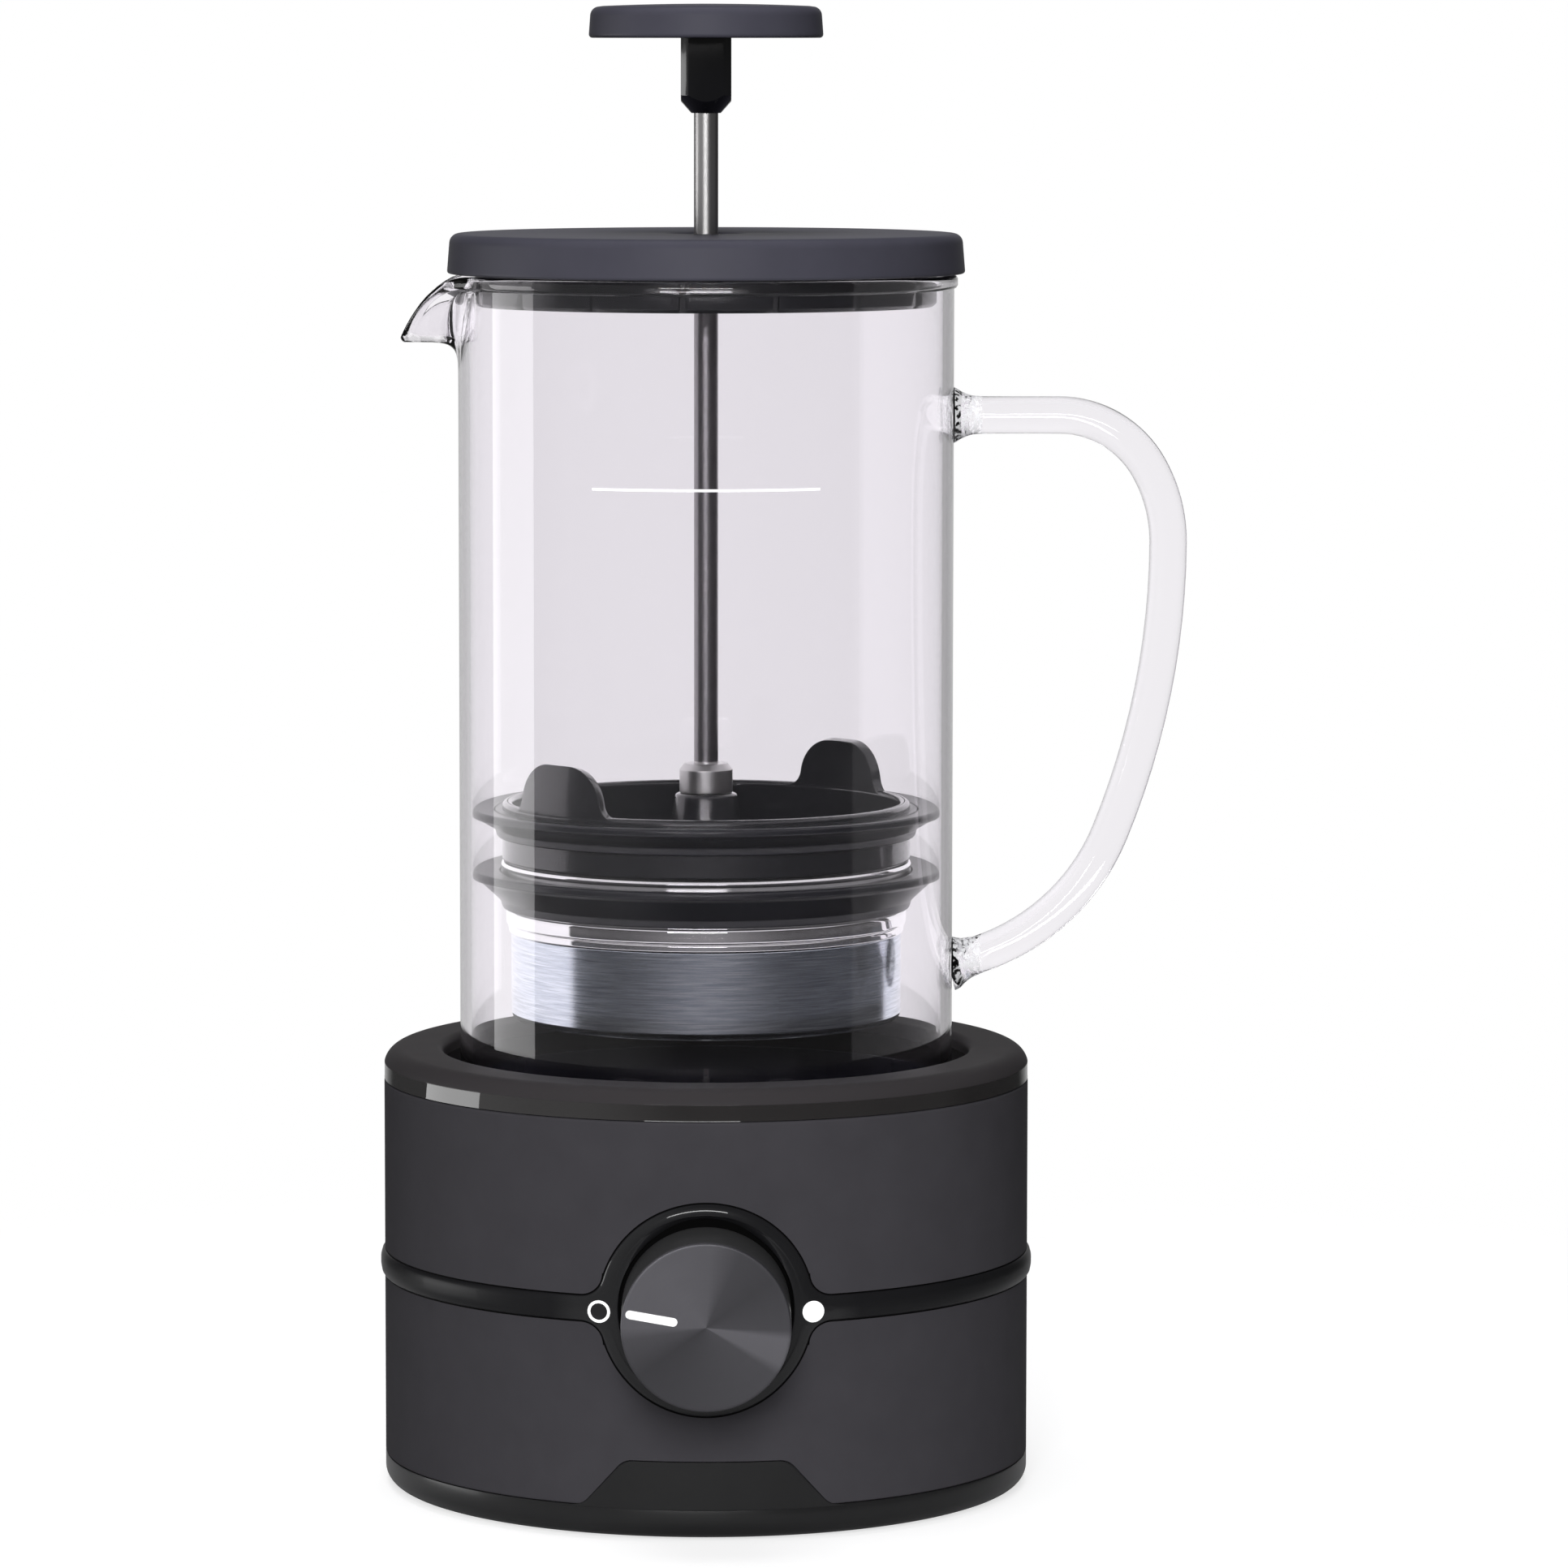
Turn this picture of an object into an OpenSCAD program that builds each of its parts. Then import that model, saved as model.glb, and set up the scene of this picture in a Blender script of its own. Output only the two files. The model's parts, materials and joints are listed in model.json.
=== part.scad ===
// Cold brew coffee maker: a glass carafe with a plunger and a steel coffee basket, standing in
// the well of a round base that holds a stirring motor and its switch.
// Millimetres. +Z up, the floor is z = 0 and the base's axis is the Z axis. The dial faces -Y,
// the carafe pours towards -X and its handle is at +X.

/* [Base] */
// Outer radius of the base's housing
base_r = 71; // [66:0.5:78]
// Height of the base's rim
base_h = 97; // [92:0.5:106]
// Wall of the housing mouldings
wall = 2.6; // [1.8:0.1:3.2]
// Height of the moulded top ring
top_ring_h = 6.8; // [5:0.1:9]
// Rounding of the rim's outer edge
rim_round = 4.2; // [2:0.1:5]
// Rounding of the rim's inner edge
bore_round = 1.6; // [0.8:0.1:2.4]
// Height of the black ring round the foot
foot_ring_h = 7.3; // [6:0.1:9]
// Rounding under the foot ring
foot_round = 3.4; // [2:0.1:4]
// How far the non-slip ring lifts the housing off the floor
standing_gap = 0.6; // [0.3:0.1:1.5]

/* [Front tab of the foot ring] */
// Height of the tab above the foot ring
tab_h = 10.2; // [6:0.1:14]
// Width of the tab along its top
tab_top_w = 39.5; // [25:0.5:50]
// Width of the tab at its foot
tab_foot_w = 54.6; // [50:0.5:64]
// How deep the tab is let into the housing
tab_t = 1.2; // [0.8:0.1:1.6]

/* [Trim and dial] */
// Gap between the dial's switch and the underside of the well
switch_gap = 0.9; // [0.6:0.1:3]
// Width of the trim band
band_w = 5.4; // [4:0.1:8]
// How far the trim band stands out of the housing
band_proud = 0.9; // [0.5:0.1:1.5]
// How deep the trim band is let in
band_depth = 0.9; // [0.6:0.1:1.2]
// Outer radius of the dial's bezel
bezel_r = 22.8; // [21.5:0.1:25]
// Rounding where the band runs into the bezel
bezel_fillet = 5; // [3:0.1:8]
// Radius of the dial
dial_r = 17.9; // [15:0.1:18.5]
// How far the dial stands out of the housing
dial_proud = 21; // [14:0.5:26]
// Thickness of the dial's metal face
dial_face_t = 1.2; // [0.8:0.1:2]
// Gap between the dial and its cup
dial_gap = 0.7; // [0.4:0.1:1]
// Length of the dial's pointer
pointer_l = 11; // [8:0.5:13]
// Width of the dial's pointer
pointer_w = 1.8; // [1.2:0.1:2.6]
// The pointer's angle above the left horizontal when off
off_angle = 10; // [0:1:20]

/* [Carafe] */
// Outer radius of the glass
glass_r = 54.2; // [50:0.1:56]
// Wall of the glass
glass_wall = 2.4; // [1.8:0.1:3]
// Thickness of the glass bottom
glass_floor = 3; // [2.4:0.1:4]
// Height of the glass
carafe_h = 203.5; // [195:0.5:215]
// Rounding of the glass at its bottom
glass_corner = 8; // [5:0.5:12]
// Height of the rolled bead at the rim
bead_h = 3; // [2:0.1:4]
// How far the bead stands out
bead_proud = 0.8; // [0.4:0.1:1.2]
// How far the pouring lip reaches out of the wall
lip_reach = 11.8; // [8:0.1:15]
// How far the pouring lip's tip is below the rim
lip_drop = 12.9; // [8:0.1:16]
// Height of the wall that the lip is drawn from
lip_root = 26; // [20:0.5:32]
// Half the angle that the lip takes of the rim
lip_half_angle = 24; // [18:1:27]

/* [Handle] */
// Radius of the glass rod
handle_rod_r = 4.1; // [3.4:0.1:5]
// How far the handle reaches out of the glass
handle_reach = 51.2; // [46:0.1:56]
// Upper joint's distance below the rim
handle_top_drop = 30.7; // [29:0.1:36]
// Radius of the bend at the top of the handle
handle_corner_r = 22.7; // [18:0.1:26]
// Radius of the handle's shoulder
handle_shoulder_r = 33; // [26:0.5:40]
// Radius of the long bend that the fingers hold
handle_grip_r = 171; // [140:1:190]
// How much wider the rod is where it is welded on
weld_flare = 2.2; // [1:0.1:3]

/* [Well] */
// Depth of the well that holds the carafe
well_depth = 35; // [30:0.5:38]
// Gap between the glass and the rim's bore
well_gap = 3.7; // [2:0.1:5]
// Gap between the glass and the foot of the well
well_guide_gap = 0.8; // [0.4:0.1:1.5]
// Thickness of the soft ring that the carafe stands on
well_pad_t = 1.2; // [0.8:0.1:2]

/* [Lid] */
// How far the lid's lower edge stands out of the glass
lid_overhang = 2.4; // [1.5:0.1:5]
// Height of the lid
lid_h = 8.7; // [7.5:0.1:12]
// How much narrower the lid is at its top
lid_draft = 0.7; // [0:0.1:1.5]
// Rounding of the lid's upper edge
lid_round = 2; // [1:0.1:3]
// Gap between the lid's plug and the glass
plug_gap = 1.4; // [0.8:0.1:2]
// How deep the plug goes into the glass
plug_h = 7; // [5:0.1:12]
// Number of pouring slots round the plug
plug_slots = 16; // [8:1:24]
// Width of a pouring slot
slot_w = 1.4; // [1:0.1:2.5]

/* [Plunger] */
// Radius of the plunger's knob
knob_r = 25.6; // [20:0.1:30]
// Height of the knob
knob_h = 7.4; // [6:0.1:10]
// Rounding of the knob's upper edge
knob_round = 2; // [1:0.1:3]
// Width of the square hub under the knob
hub_w = 11; // [9:0.1:14]
// Height of the hub
hub_h = 16.3; // [12:0.1:20]
// Chamfer on the hub's edges
hub_chamfer = 1.6; // [0.8:0.1:2.2]
// Radius of the plunger's rod
rod_r = 2.65; // [2.2:0.05:3.2]
// Running clearance between the rod and its bush
rod_fit = 0.05; // [0.02:0.01:0.09]
// How far the plunger can go down from where it is shown
plunger_travel = 26.1; // [20:0.1:28]
// Length of rod that shows between the hub and the collar
rod_l = 142.2; // [138:0.1:146]
// Radius of the steel collar at the foot of the rod
collar_r = 5.85; // [5:0.05:7]
// Height of the collar
collar_h = 6.5; // [5:0.1:9]

/* [Strainer cap] */
// Gap between the cap's wall and the glass
cap_gap = 6.9; // [5.8:0.1:9]
// Wall of the cap
cap_wall = 2.4; // [1.8:0.1:3]
// Height of the cap's wall
cap_h = 12.7; // [10:0.1:15]
// How far the cap's middle boss stands above its wall
boss_rise = 1.6; // [0.6:0.1:3]
// Width of a finger tab
finger_w = 24.5; // [18:0.5:30]
// Height of a finger tab above the wall
finger_h = 10.5; // [7:0.1:13]
// Direction of the finger tabs from +X
finger_angle = 44; // [0:1:90]
// Depth of the spigot that goes into the basket
spigot_h = 5.5; // [4:0.1:8]
// Number of spokes between the cap's wall and boss
cap_spokes = 6; // [4:1:8]
// Gap between the wiping seals and the glass
seal_gap = 0.4; // [0.35:0.05:0.8]
// Thickness of a wiping seal at its lip
seal_lip_t = 2.2; // [1.4:0.1:3]

/* [Coffee basket] */
// Height of the basket
basket_h = 34.9; // [30:0.1:38]
// Gap between the basket's wall and the glass
basket_gap = 8.9; // [8.3:0.1:11]
// Thickness of the basket's steel
steel_t = 0.8; // [0.5:0.05:1.2]
// How far the basket's shoulder swells out of the wall
shoulder_swell = 1; // [0.5:0.1:1.4]
// Height of the shoulder's lower edge above the basket's bottom
shoulder_h = 19; // [15:0.5:21]

/* [Stirring drive] */
// Radius of the stirrer
stirrer_r = 30; // [22:0.5:38]
// Height of the stirrer
stirrer_h = 8.5; // [6:0.1:9.5]
// Radius of the magnets in the stirrer
stirrer_magnet_r = 5; // [3:0.1:6]
// Radius of the turning disc under the well
rotor_r = 31; // [24:0.5:36]
// Radius of the magnets in the turning disc
drive_magnet_r = 7; // [5:0.1:8]
// Radius of the motor
motor_r = 18; // [14:0.5:22]
// Length of the motor
motor_l = 27; // [20:0.5:28]
// Radius of the motor's shaft
shaft_r = 2; // [1.5:0.1:3]
// Radius on which the motor's bosses stand
boss_circle_r = 42; // [40:0.5:46]

/* [Cord inlet] */
// Height of the cord gland
gland_h = 18; // [16:0.5:24]
// Radius of the cord gland's bore
gland_bore_r = 3.2; // [2.4:0.1:4]

/* [Hidden] */

$fn = 96;
eps = 0.01;                    // overlap that keeps a cut from ending on a face
fit = 0.15;                    // gap between mouldings that slip into each other
fit_free = 0.3;                // gap between pieces that move past each other

// Heights of the base: the dial's switch sits under the well
seam_h = base_h - top_ring_h;
well_floor_h = base_h - well_depth;
cup_under_h = well_floor_h - wall;
switch_w = 24;
switch_h = 17;
switch_d = 11;
dial_axis_h = cup_under_h - switch_gap - switch_h / 2;
band_mid_h = dial_axis_h - 0.3;
band_lo = band_mid_h - band_w / 2;
band_hi = band_mid_h + band_w / 2;
band_in_r = base_r - band_depth;
band_r = base_r + band_proud;
shell_in_r = base_r - wall;
lap_h = 3;                     // height of the lips that lock mouldings together
lap_t = 1.6;                   // thickness of such a lip

// The well and what stands in it
well_r = glass_r + well_gap;
guide_r = glass_r + well_guide_gap;
guide_h = 12;                  // height of the straight foot of the well
cup_joint_h = base_h - 8;
carafe_z = well_floor_h + well_pad_t;
glass_in_r = glass_r - glass_wall;
glass_floor_h = carafe_z + glass_floor;
rim_z = carafe_z + carafe_h;
lip_z = rim_z - lip_root;
lip_cut_angle = lip_half_angle + 4;
pad_r = glass_r - glass_corner - 2;

// The lid and the plunger
lid_z = rim_z + fit_free;
lid_top = lid_z + lid_h;
lid_r = glass_r + lid_overhang;
plug_r = glass_in_r - plug_gap;
hub_z = lid_top + plunger_travel;
knob_z = hub_z + hub_h;
collar_top = hub_z - rod_l;
boss_top = collar_top - collar_h;
cap_rim_z = boss_top - boss_rise;
cap_z = cap_rim_z - cap_h;
seal_r = glass_in_r - seal_gap;
cap_r = glass_in_r - cap_gap;
upper_seal_h = 5.6;            // from the foot of the upper seal to the root of its lip
bush_r = 5;

// The basket hangs under the cap
basket_rim_z = cap_z - fit_free;
basket_z = basket_rim_z - basket_h;
basket_r = glass_in_r - basket_gap;
basket_neck_r = basket_r + shoulder_swell - 0.2;
spigot_r = basket_neck_r - steel_t - fit_free;
band_bottom_z = basket_z + shoulder_h + 5.6;

// The drive
rotor_top = cup_under_h - 2.6;
rotor_t = 5;
rotor_z = rotor_top - rotor_t;
bracket_t = 2;
bracket_top = rotor_z - 5.5;
bracket_z = bracket_top - bracket_t;
motor_z = bracket_z - motor_l;
boss_r = 4;
screw_r = 1.3;
screw_head_r = 2.7;
screw_head_h = 1.9;
base_screw_l = 14;
motor_screw_l = 9;
magnet_ring_r = stirrer_r - stirrer_magnet_r - 3;

// The foot
plate_z = standing_gap + 0.8;
plate_top = plate_z + 5;
plate_step_h = plate_z + 3;
ring_flange_r = base_r - 7;
post_r = 3.8;
post_circle_r = shell_in_r - post_r - 4;
grip_ring_r = post_circle_r - 4.8;
grip_ring_w = 5.6;

// The circuit board, on four posts of the plate
board_w = 40;
board_d = 28;
board_t = 1.6;
board_post_h = 5.4;
board_z = plate_top + board_post_h;
board_back_y = shell_in_r - 13.4;
board_inset = 5;

// The dial: distances from the base's axis, towards the front
face_y = base_r + dial_proud;
cup_r = dial_r + dial_gap;
cup_out_r = cup_r + 1.9;
cup_floor_y = base_r - 5;
cup_back_y = cup_floor_y - 2.6;
dish_r = bezel_r - 1.3;
knob_back_y = cup_floor_y + 1.2;
bush_out_r = 4.4;
dial_shaft_r = 3;

// Points along an arc round c, from angle a0 to a1 in n steps
function arc(c, r, a0, a1, n) =
    [for (i = [0:n]) let (a = a0 + (a1 - a0) * i / n) [c[0] + r * cos(a), c[1] + r * sin(a)]];

// A tube between two radii and two heights
module tube(r_in, r_out, z0, z1) {
    translate([0, 0, z0])
        difference() {
            cylinder(r = r_out, h = z1 - z0);
            translate([0, 0, -1])
                cylinder(r = r_in, h = z1 - z0 + 2);
        }
}

// Turns a shape made along +Z so that it points to the front on the dial's axis
module at_dial() {
    translate([0, 0, dial_axis_h])
        rotate([90, 0, 0])
            children();
}

// Extrudes an outline drawn as the front view, from the middle of the base to well in front
module front_prism() {
    rotate([90, 0, 0])
        linear_extrude(height = base_r + 20)
            children();
}

// One quarter of the outline where the band runs into the bezel: side is 1 or -1 for right or
// left, up is 1 or -1, edge is the height of the band's edge on that side
function flare(side, up, edge) =
    let (dz = (edge - dial_axis_h) * up + bezel_fillet,
         dx = sqrt(pow(bezel_r + bezel_fillet, 2) - dz * dz),
         turn = atan2(dz, dx),
         pts = concat(arc([0, 0], bezel_r, 90, turn, 12),
             arc([dx, dz], bezel_fillet, turn + 180, 270, 6)))
    [for (p = pts) [side * p[0], dial_axis_h + up * p[1]]];

function backwards(pts) = [for (i = [len(pts) - 1:-1:0]) pts[i]];

// The front view of the bezel and its flares
module bezel_outline() {
    polygon(concat(flare(1, 1, band_hi), backwards(flare(1, -1, band_lo)),
        flare(-1, -1, band_lo), backwards(flare(-1, 1, band_hi))));
}

// Everything that the trim covers: a slice round the base and the bezel at its front
module trim_region() {
    union() {
        translate([-base_r - 5, -base_r - 5, band_lo])
            cube([2 * base_r + 10, 2 * base_r + 10, band_w]);
        front_prism()
            bezel_outline();
    }
}

// The tab's front view: its sides run out into the foot ring in hollow curves
module tab_outline(gap) {
    top = foot_ring_h + tab_h - gap;
    half_top = tab_top_w / 2 - gap;
    half_foot = tab_foot_w / 2 - gap;
    r = 4;
    side = concat([[half_foot + 3, foot_ring_h - 1], [half_foot + 3, foot_ring_h]],
        arc([half_foot + 1, foot_ring_h + r], r, 270, 222, 5),
        arc([half_top - r, top - r], r, 40, 90, 5));
    polygon(concat(side, backwards([for (p = side) [-p[0], p[1]]])));
}

/* ---- Base ---- */

// The glossy ring on top of the housing, with the rim that the carafe drops through
module top_ring() {
    lip_r = shell_in_r - fit;
    color("#1c1b1c")
        rotate_extrude()
            polygon(concat([[base_r, seam_h]],
                arc([base_r - rim_round, base_h - rim_round], rim_round, 0, 90, 8),
                arc([well_r + bore_round, base_h - bore_round], bore_round, 90, 180, 5),
                [[well_r, cup_joint_h], [well_r + wall, cup_joint_h],
                 [well_r + wall, base_h - wall], [base_r - rim_round, base_h - wall],
                 [shell_in_r, base_h - rim_round], [shell_in_r, seam_h + 1],
                 [lip_r - lap_t, seam_h + 1], [lip_r - lap_t, seam_h - lap_h],
                 [lip_r, seam_h - lap_h], [lip_r, seam_h]]));
}

// The deep cup that the carafe stands in, with the bosses that carry the motor
module well_cup() {
    taper_top = well_floor_h + guide_h + 6;
    color("#161617")
        difference() {
            union() {
                rotate_extrude()
                    polygon([[0, cup_under_h], [guide_r + wall, cup_under_h],
                        [guide_r + wall, well_floor_h + guide_h], [well_r + wall, taper_top],
                        [well_r + wall, cup_joint_h], [well_r, cup_joint_h],
                        [well_r, taper_top], [guide_r, well_floor_h + guide_h],
                        [guide_r, well_floor_h], [0, well_floor_h]]);
                for (a = [90, 210, 330])
                    rotate(a)
                        translate([boss_circle_r, 0, bracket_top])
                            cylinder(r = boss_r, h = cup_under_h - bracket_top + eps);
            }
            for (a = [90, 210, 330])
                rotate(a)
                    translate([boss_circle_r, 0, bracket_top - 1])
                        cylinder(r = screw_r, h = cup_under_h - bracket_top);
        }
}

// Soft ring on the floor of the well
module well_pad() {
    color("#2b2b2c")
        tube(pad_r - 12, pad_r, well_floor_h, carafe_z);
}

// The dark grey housing above the trim band
module upper_shell() {
    color("#3e3e42")
        difference() {
            tube(shell_in_r, base_r, band_mid_h, seam_h);
            intersection() {
                tube(band_in_r, base_r + 4, band_lo, seam_h - 1);
                trim_region();
            }
            at_dial()
                cylinder(r = cup_out_r + fit, h = base_r + 10);
        }
}

// The housing below the trim band, with the screw posts and the cord gland's hole
module lower_shell() {
    flat_y = base_r - 0.6;
    color("#3e3e42")
        difference() {
            union() {
                tube(shell_in_r, base_r, foot_ring_h, band_mid_h);
                for (a = [45:90:315])
                    rotate(a) {
                        translate([post_circle_r, 0, plate_top])
                            cylinder(r = post_r, h = 16);
                        translate([post_circle_r + post_r - 1, -1.2, plate_top + 2])
                            cube([shell_in_r - post_circle_r - post_r + 1.8, 2.4, 14]);
                    }
            }
            for (a = [45:90:315])
                rotate(a)
                    translate([post_circle_r, 0, plate_top - 1])
                        cylinder(r = screw_r, h = 14);
            intersection() {
                tube(band_in_r, base_r + 4, foot_ring_h + 1, band_mid_h + 1);
                trim_region();
            }
            intersection() {
                tube(base_r - tab_t, base_r + 4, foot_ring_h - 1, foot_ring_h + tab_h + 1);
                front_prism()
                    tab_outline(0);
            }
            at_dial()
                cylinder(r = cup_out_r + fit, h = base_r + 10);
            translate([0, 0, gland_h])
                rotate([-90, 0, 0])
                    cylinder(r = gland_bore_r + 1.8, h = base_r + 5);
            translate([-12, flat_y, gland_h - 9])
                cube([24, 8, 18]);
        }
}

// The glossy trim: a band round the housing that widens into the dial's bezel and cup
module trim_band() {
    color("#151516")
        difference() {
            union() {
                intersection() {
                    tube(band_in_r, band_r, dial_axis_h - bezel_r - 1, dial_axis_h + bezel_r + 1);
                    trim_region();
                }
                intersection() {
                    at_dial()
                        translate([0, 0, cup_back_y])
                            cylinder(r = cup_out_r, h = base_r - cup_back_y + 5);
                    cylinder(r = band_r - 0.1, h = base_h);
                }
            }
            at_dial()
                rotate_extrude()
                    polygon([[bush_out_r + fit, cup_back_y - 1], [bush_out_r + fit, cup_floor_y],
                        [cup_r, cup_floor_y], [cup_r, band_r - 2.6], [dish_r, band_r - 0.2],
                        [dish_r, band_r + 10], [0, band_r + 10], [0, cup_back_y - 1]]);
        }
}

// The black ring round the foot, whose tab stands up in the front of the housing
module foot_ring() {
    color("#1a1a1b")
        union() {
            rotate_extrude()
                polygon(concat([[ring_flange_r, standing_gap]],
                    arc([base_r - foot_round, standing_gap + foot_round], foot_round, -75, 0, 6),
                    [[base_r, foot_ring_h], [shell_in_r, foot_ring_h],
                     [shell_in_r, plate_step_h], [ring_flange_r, plate_step_h]]));
            intersection() {
                tube(base_r - tab_t + fit, base_r + 0.1, foot_ring_h - 0.5,
                    foot_ring_h + tab_h + 1);
                front_prism()
                    tab_outline(fit);
            }
        }
}

// The plate that closes the housing from below
module base_plate() {
    color("#242425")
        difference() {
            union() {
                translate([0, 0, plate_z])
                    cylinder(r = ring_flange_r - fit, h = plate_step_h - plate_z);
                translate([0, 0, plate_step_h])
                    cylinder(r = shell_in_r - fit, h = plate_top - plate_step_h);
                for (side = [-1, 1], y = [board_inset, board_d - board_inset])
                    translate([side * (board_w / 2 - board_inset), board_back_y - y,
                        plate_top - eps])
                        cylinder(r = 2.2, h = board_post_h + eps);
            }
            tube(grip_ring_r - grip_ring_w - fit, grip_ring_r + fit, plate_z - 1, plate_z + 1);
            for (a = [45:90:315])
                rotate(a)
                    translate([post_circle_r, 0, plate_z - 1]) {
                        cylinder(r = screw_r + 0.2, h = 10);
                        cylinder(r = 3.2, h = 3.2);
                    }
            for (a = [0:30:330])
                rotate(a)
                    translate([24, -1.25, plate_z - 1])
                        cube([14, 2.5, 8]);
        }
}

// Rubber ring that the whole maker stands on
module non_slip_ring() {
    color("#303031")
        tube(grip_ring_r - grip_ring_w, grip_ring_r, 0, plate_z + 1);
}

// One screw with its head down
module screw(shank_r, shank_l, head_r, head_h) {
    translate([0, 0, -eps])
        cylinder(r = shank_r, h = shank_l + eps);
    translate([0, 0, -head_h])
        difference() {
            cylinder(r = head_r, h = head_h);
            translate([-head_r, -0.35, -1])
                cube([2 * head_r, 0.7, 1.8]);
            translate([-0.35, -head_r, -1])
                cube([0.7, 2 * head_r, 1.8]);
        }
}

module base_screws() {
    color("silver")
        for (a = [45:90:315])
            rotate(a)
                translate([post_circle_r, 0, plate_z + 2.2])
                    screw(screw_r, base_screw_l, screw_head_r, screw_head_h);
}

// The steel plate that hangs the motor under the well
module motor_bracket() {
    color("#9a9ca0")
        difference() {
            translate([0, 0, bracket_z])
                cylinder(r = boss_circle_r + boss_r, h = bracket_t);
            translate([0, 0, bracket_z - 1])
                cylinder(r = 5.1, h = bracket_t + 2);
            for (a = [90, 210, 330])
                rotate(a)
                    translate([boss_circle_r, 0, bracket_z - 1])
                        cylinder(r = screw_r, h = bracket_t + 2);
            for (a = [30, 150, 270])
                rotate(a)
                    translate([motor_r + 11, 0, bracket_z - 1])
                        cylinder(r = 7, h = bracket_t + 2);
        }
}

// The motor: a steel can with a bearing boss at each end
module motor() {
    color("#b5b7ba")
        difference() {
            union() {
                translate([0, 0, motor_z])
                    cylinder(r = motor_r, h = motor_l);
                translate([0, 0, bracket_z - eps])
                    cylinder(r = 5, h = bracket_t + 1);
                translate([0, 0, motor_z - 2])
                    cylinder(r = 4.5, h = 3);
            }
            translate([0, 0, motor_z + 4])
                cylinder(r = shaft_r + rod_fit, h = motor_l + 10);
        }
}

module motor_screws() {
    color("silver")
        for (a = [90, 210, 330])
            rotate(a)
                translate([boss_circle_r, 0, bracket_z])
                    screw(screw_r, motor_screw_l, screw_head_r, screw_head_h);
}

// The rotary switch behind the dial's cup, with the bush that its shaft turns in
module rotary_switch() {
    color("#e4e0d4")
        difference() {
            union() {
                translate([-switch_w / 2, -cup_back_y, dial_axis_h - switch_h / 2])
                    cube([switch_w, switch_d, switch_h]);
                at_dial()
                    translate([0, 0, cup_back_y - eps])
                        cylinder(r = bush_out_r, h = cup_floor_y - cup_back_y + 0.8);
            }
            at_dial()
                translate([0, 0, cup_back_y - 6])
                    cylinder(r = dial_shaft_r + rod_fit, h = 20);
        }
}

// The board that feeds the motor, on the base plate's posts
module circuit_board() {
    color("#2f6b3c")
        union() {
            translate([-board_w / 2, board_back_y - board_d, board_z])
                cube([board_w, board_d, board_t]);
            translate([-6, board_back_y - 21, board_z + board_t - eps])
                cube([12, 12, 7]);
            translate([3 - board_w / 2, board_back_y - 21, board_z + board_t - eps])
                cylinder(r = 2.8, h = 9);
            translate([board_w / 2 - 6, board_back_y - 17, board_z + board_t - eps])
                cylinder(r = 4, h = 8);
        }
}

// The flanged gland at the back that the mains cord comes in by
module cord_gland() {
    inner_flange_y = sqrt(pow(shell_in_r, 2) - pow(gland_bore_r + 3.4, 2)) - 0.05;
    color("#1f1f20")
        translate([0, 0, gland_h])
            rotate([-90, 0, 0])
                rotate_extrude()
                    polygon([[gland_bore_r, inner_flange_y - 3],
                        [gland_bore_r + 3.4, inner_flange_y - 3],
                        [gland_bore_r + 3.4, inner_flange_y],
                        [gland_bore_r + 1.8, inner_flange_y],
                        [gland_bore_r + 1.8, base_r - 0.6],
                        [gland_bore_r + 3.8, base_r - 0.6],
                        [gland_bore_r + 3.8, base_r + 0.6],
                        [gland_bore_r + 2.2, base_r + 1.8],
                        [gland_bore_r, base_r + 1.8]]);
}

/* ---- Dial ---- */

// The dial's moulded body
module dial_knob() {
    color("#202021")
        at_dial()
            rotate_extrude()
                polygon([[dial_shaft_r, knob_back_y], [dial_r - 0.6, knob_back_y],
                    [dial_r, knob_back_y + 0.6], [dial_r, face_y - dial_face_t],
                    [0, face_y - dial_face_t], [0, face_y - 9], [dial_shaft_r, face_y - 9]]);
}

// The turned metal face, let in to take the pointer
module dial_face() {
    color("#4b4b50")
        difference() {
            at_dial()
                rotate_extrude()
                    polygon([[0, face_y - dial_face_t], [dial_r, face_y - dial_face_t],
                        [dial_r, face_y - 0.35], [dial_r - 0.35, face_y], [0, face_y]]);
            pointer_bar(0.6, 1);
        }
}

// The pointer's bar, from the face's depth d to the height h in front of it
module pointer_bar(d, h) {
    half = pointer_w / 2;
    at_dial()
        rotate(180 - off_angle)
            translate([dial_r - 0.8 - pointer_l, 0, face_y - d])
                linear_extrude(height = d + h)
                    union() {
                        translate([half, -half])
                            square([pointer_l - pointer_w, pointer_w]);
                        translate([half, 0])
                            circle(r = half, $fn = 24);
                        translate([pointer_l - half, 0])
                            circle(r = half, $fn = 24);
                    }
}

module dial_pointer() {
    color("white")
        pointer_bar(0.6, 0.1);
}

// The switch's shaft, which the dial is pressed on
module dial_shaft() {
    color("silver")
        at_dial()
            translate([0, 0, cup_back_y - 5.5])
                cylinder(r = dial_shaft_r, h = face_y - 9 - cup_back_y + 5.5);
}

/* ---- Drive ---- */

module motor_shaft() {
    color("silver")
        translate([0, 0, motor_z + 4.5])
            cylinder(r = shaft_r, h = rotor_top - motor_z - 5.5);
}

// The disc that carries the drive magnets round under the well
module rotor_disc() {
    color("#e8e8e6")
        difference() {
            union() {
                translate([0, 0, rotor_z])
                    cylinder(r = rotor_r, h = rotor_t);
                translate([0, 0, rotor_z - 3])
                    cylinder(r = 5, h = 4);
            }
            translate([0, 0, rotor_z - 4])
                cylinder(r = shaft_r, h = rotor_top - 1 - rotor_z + 4);
            for (a = [0, 180])
                rotate(a)
                    translate([magnet_ring_r, 0, rotor_z + 1])
                        cylinder(r = drive_magnet_r, h = rotor_t);
        }
}

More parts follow.
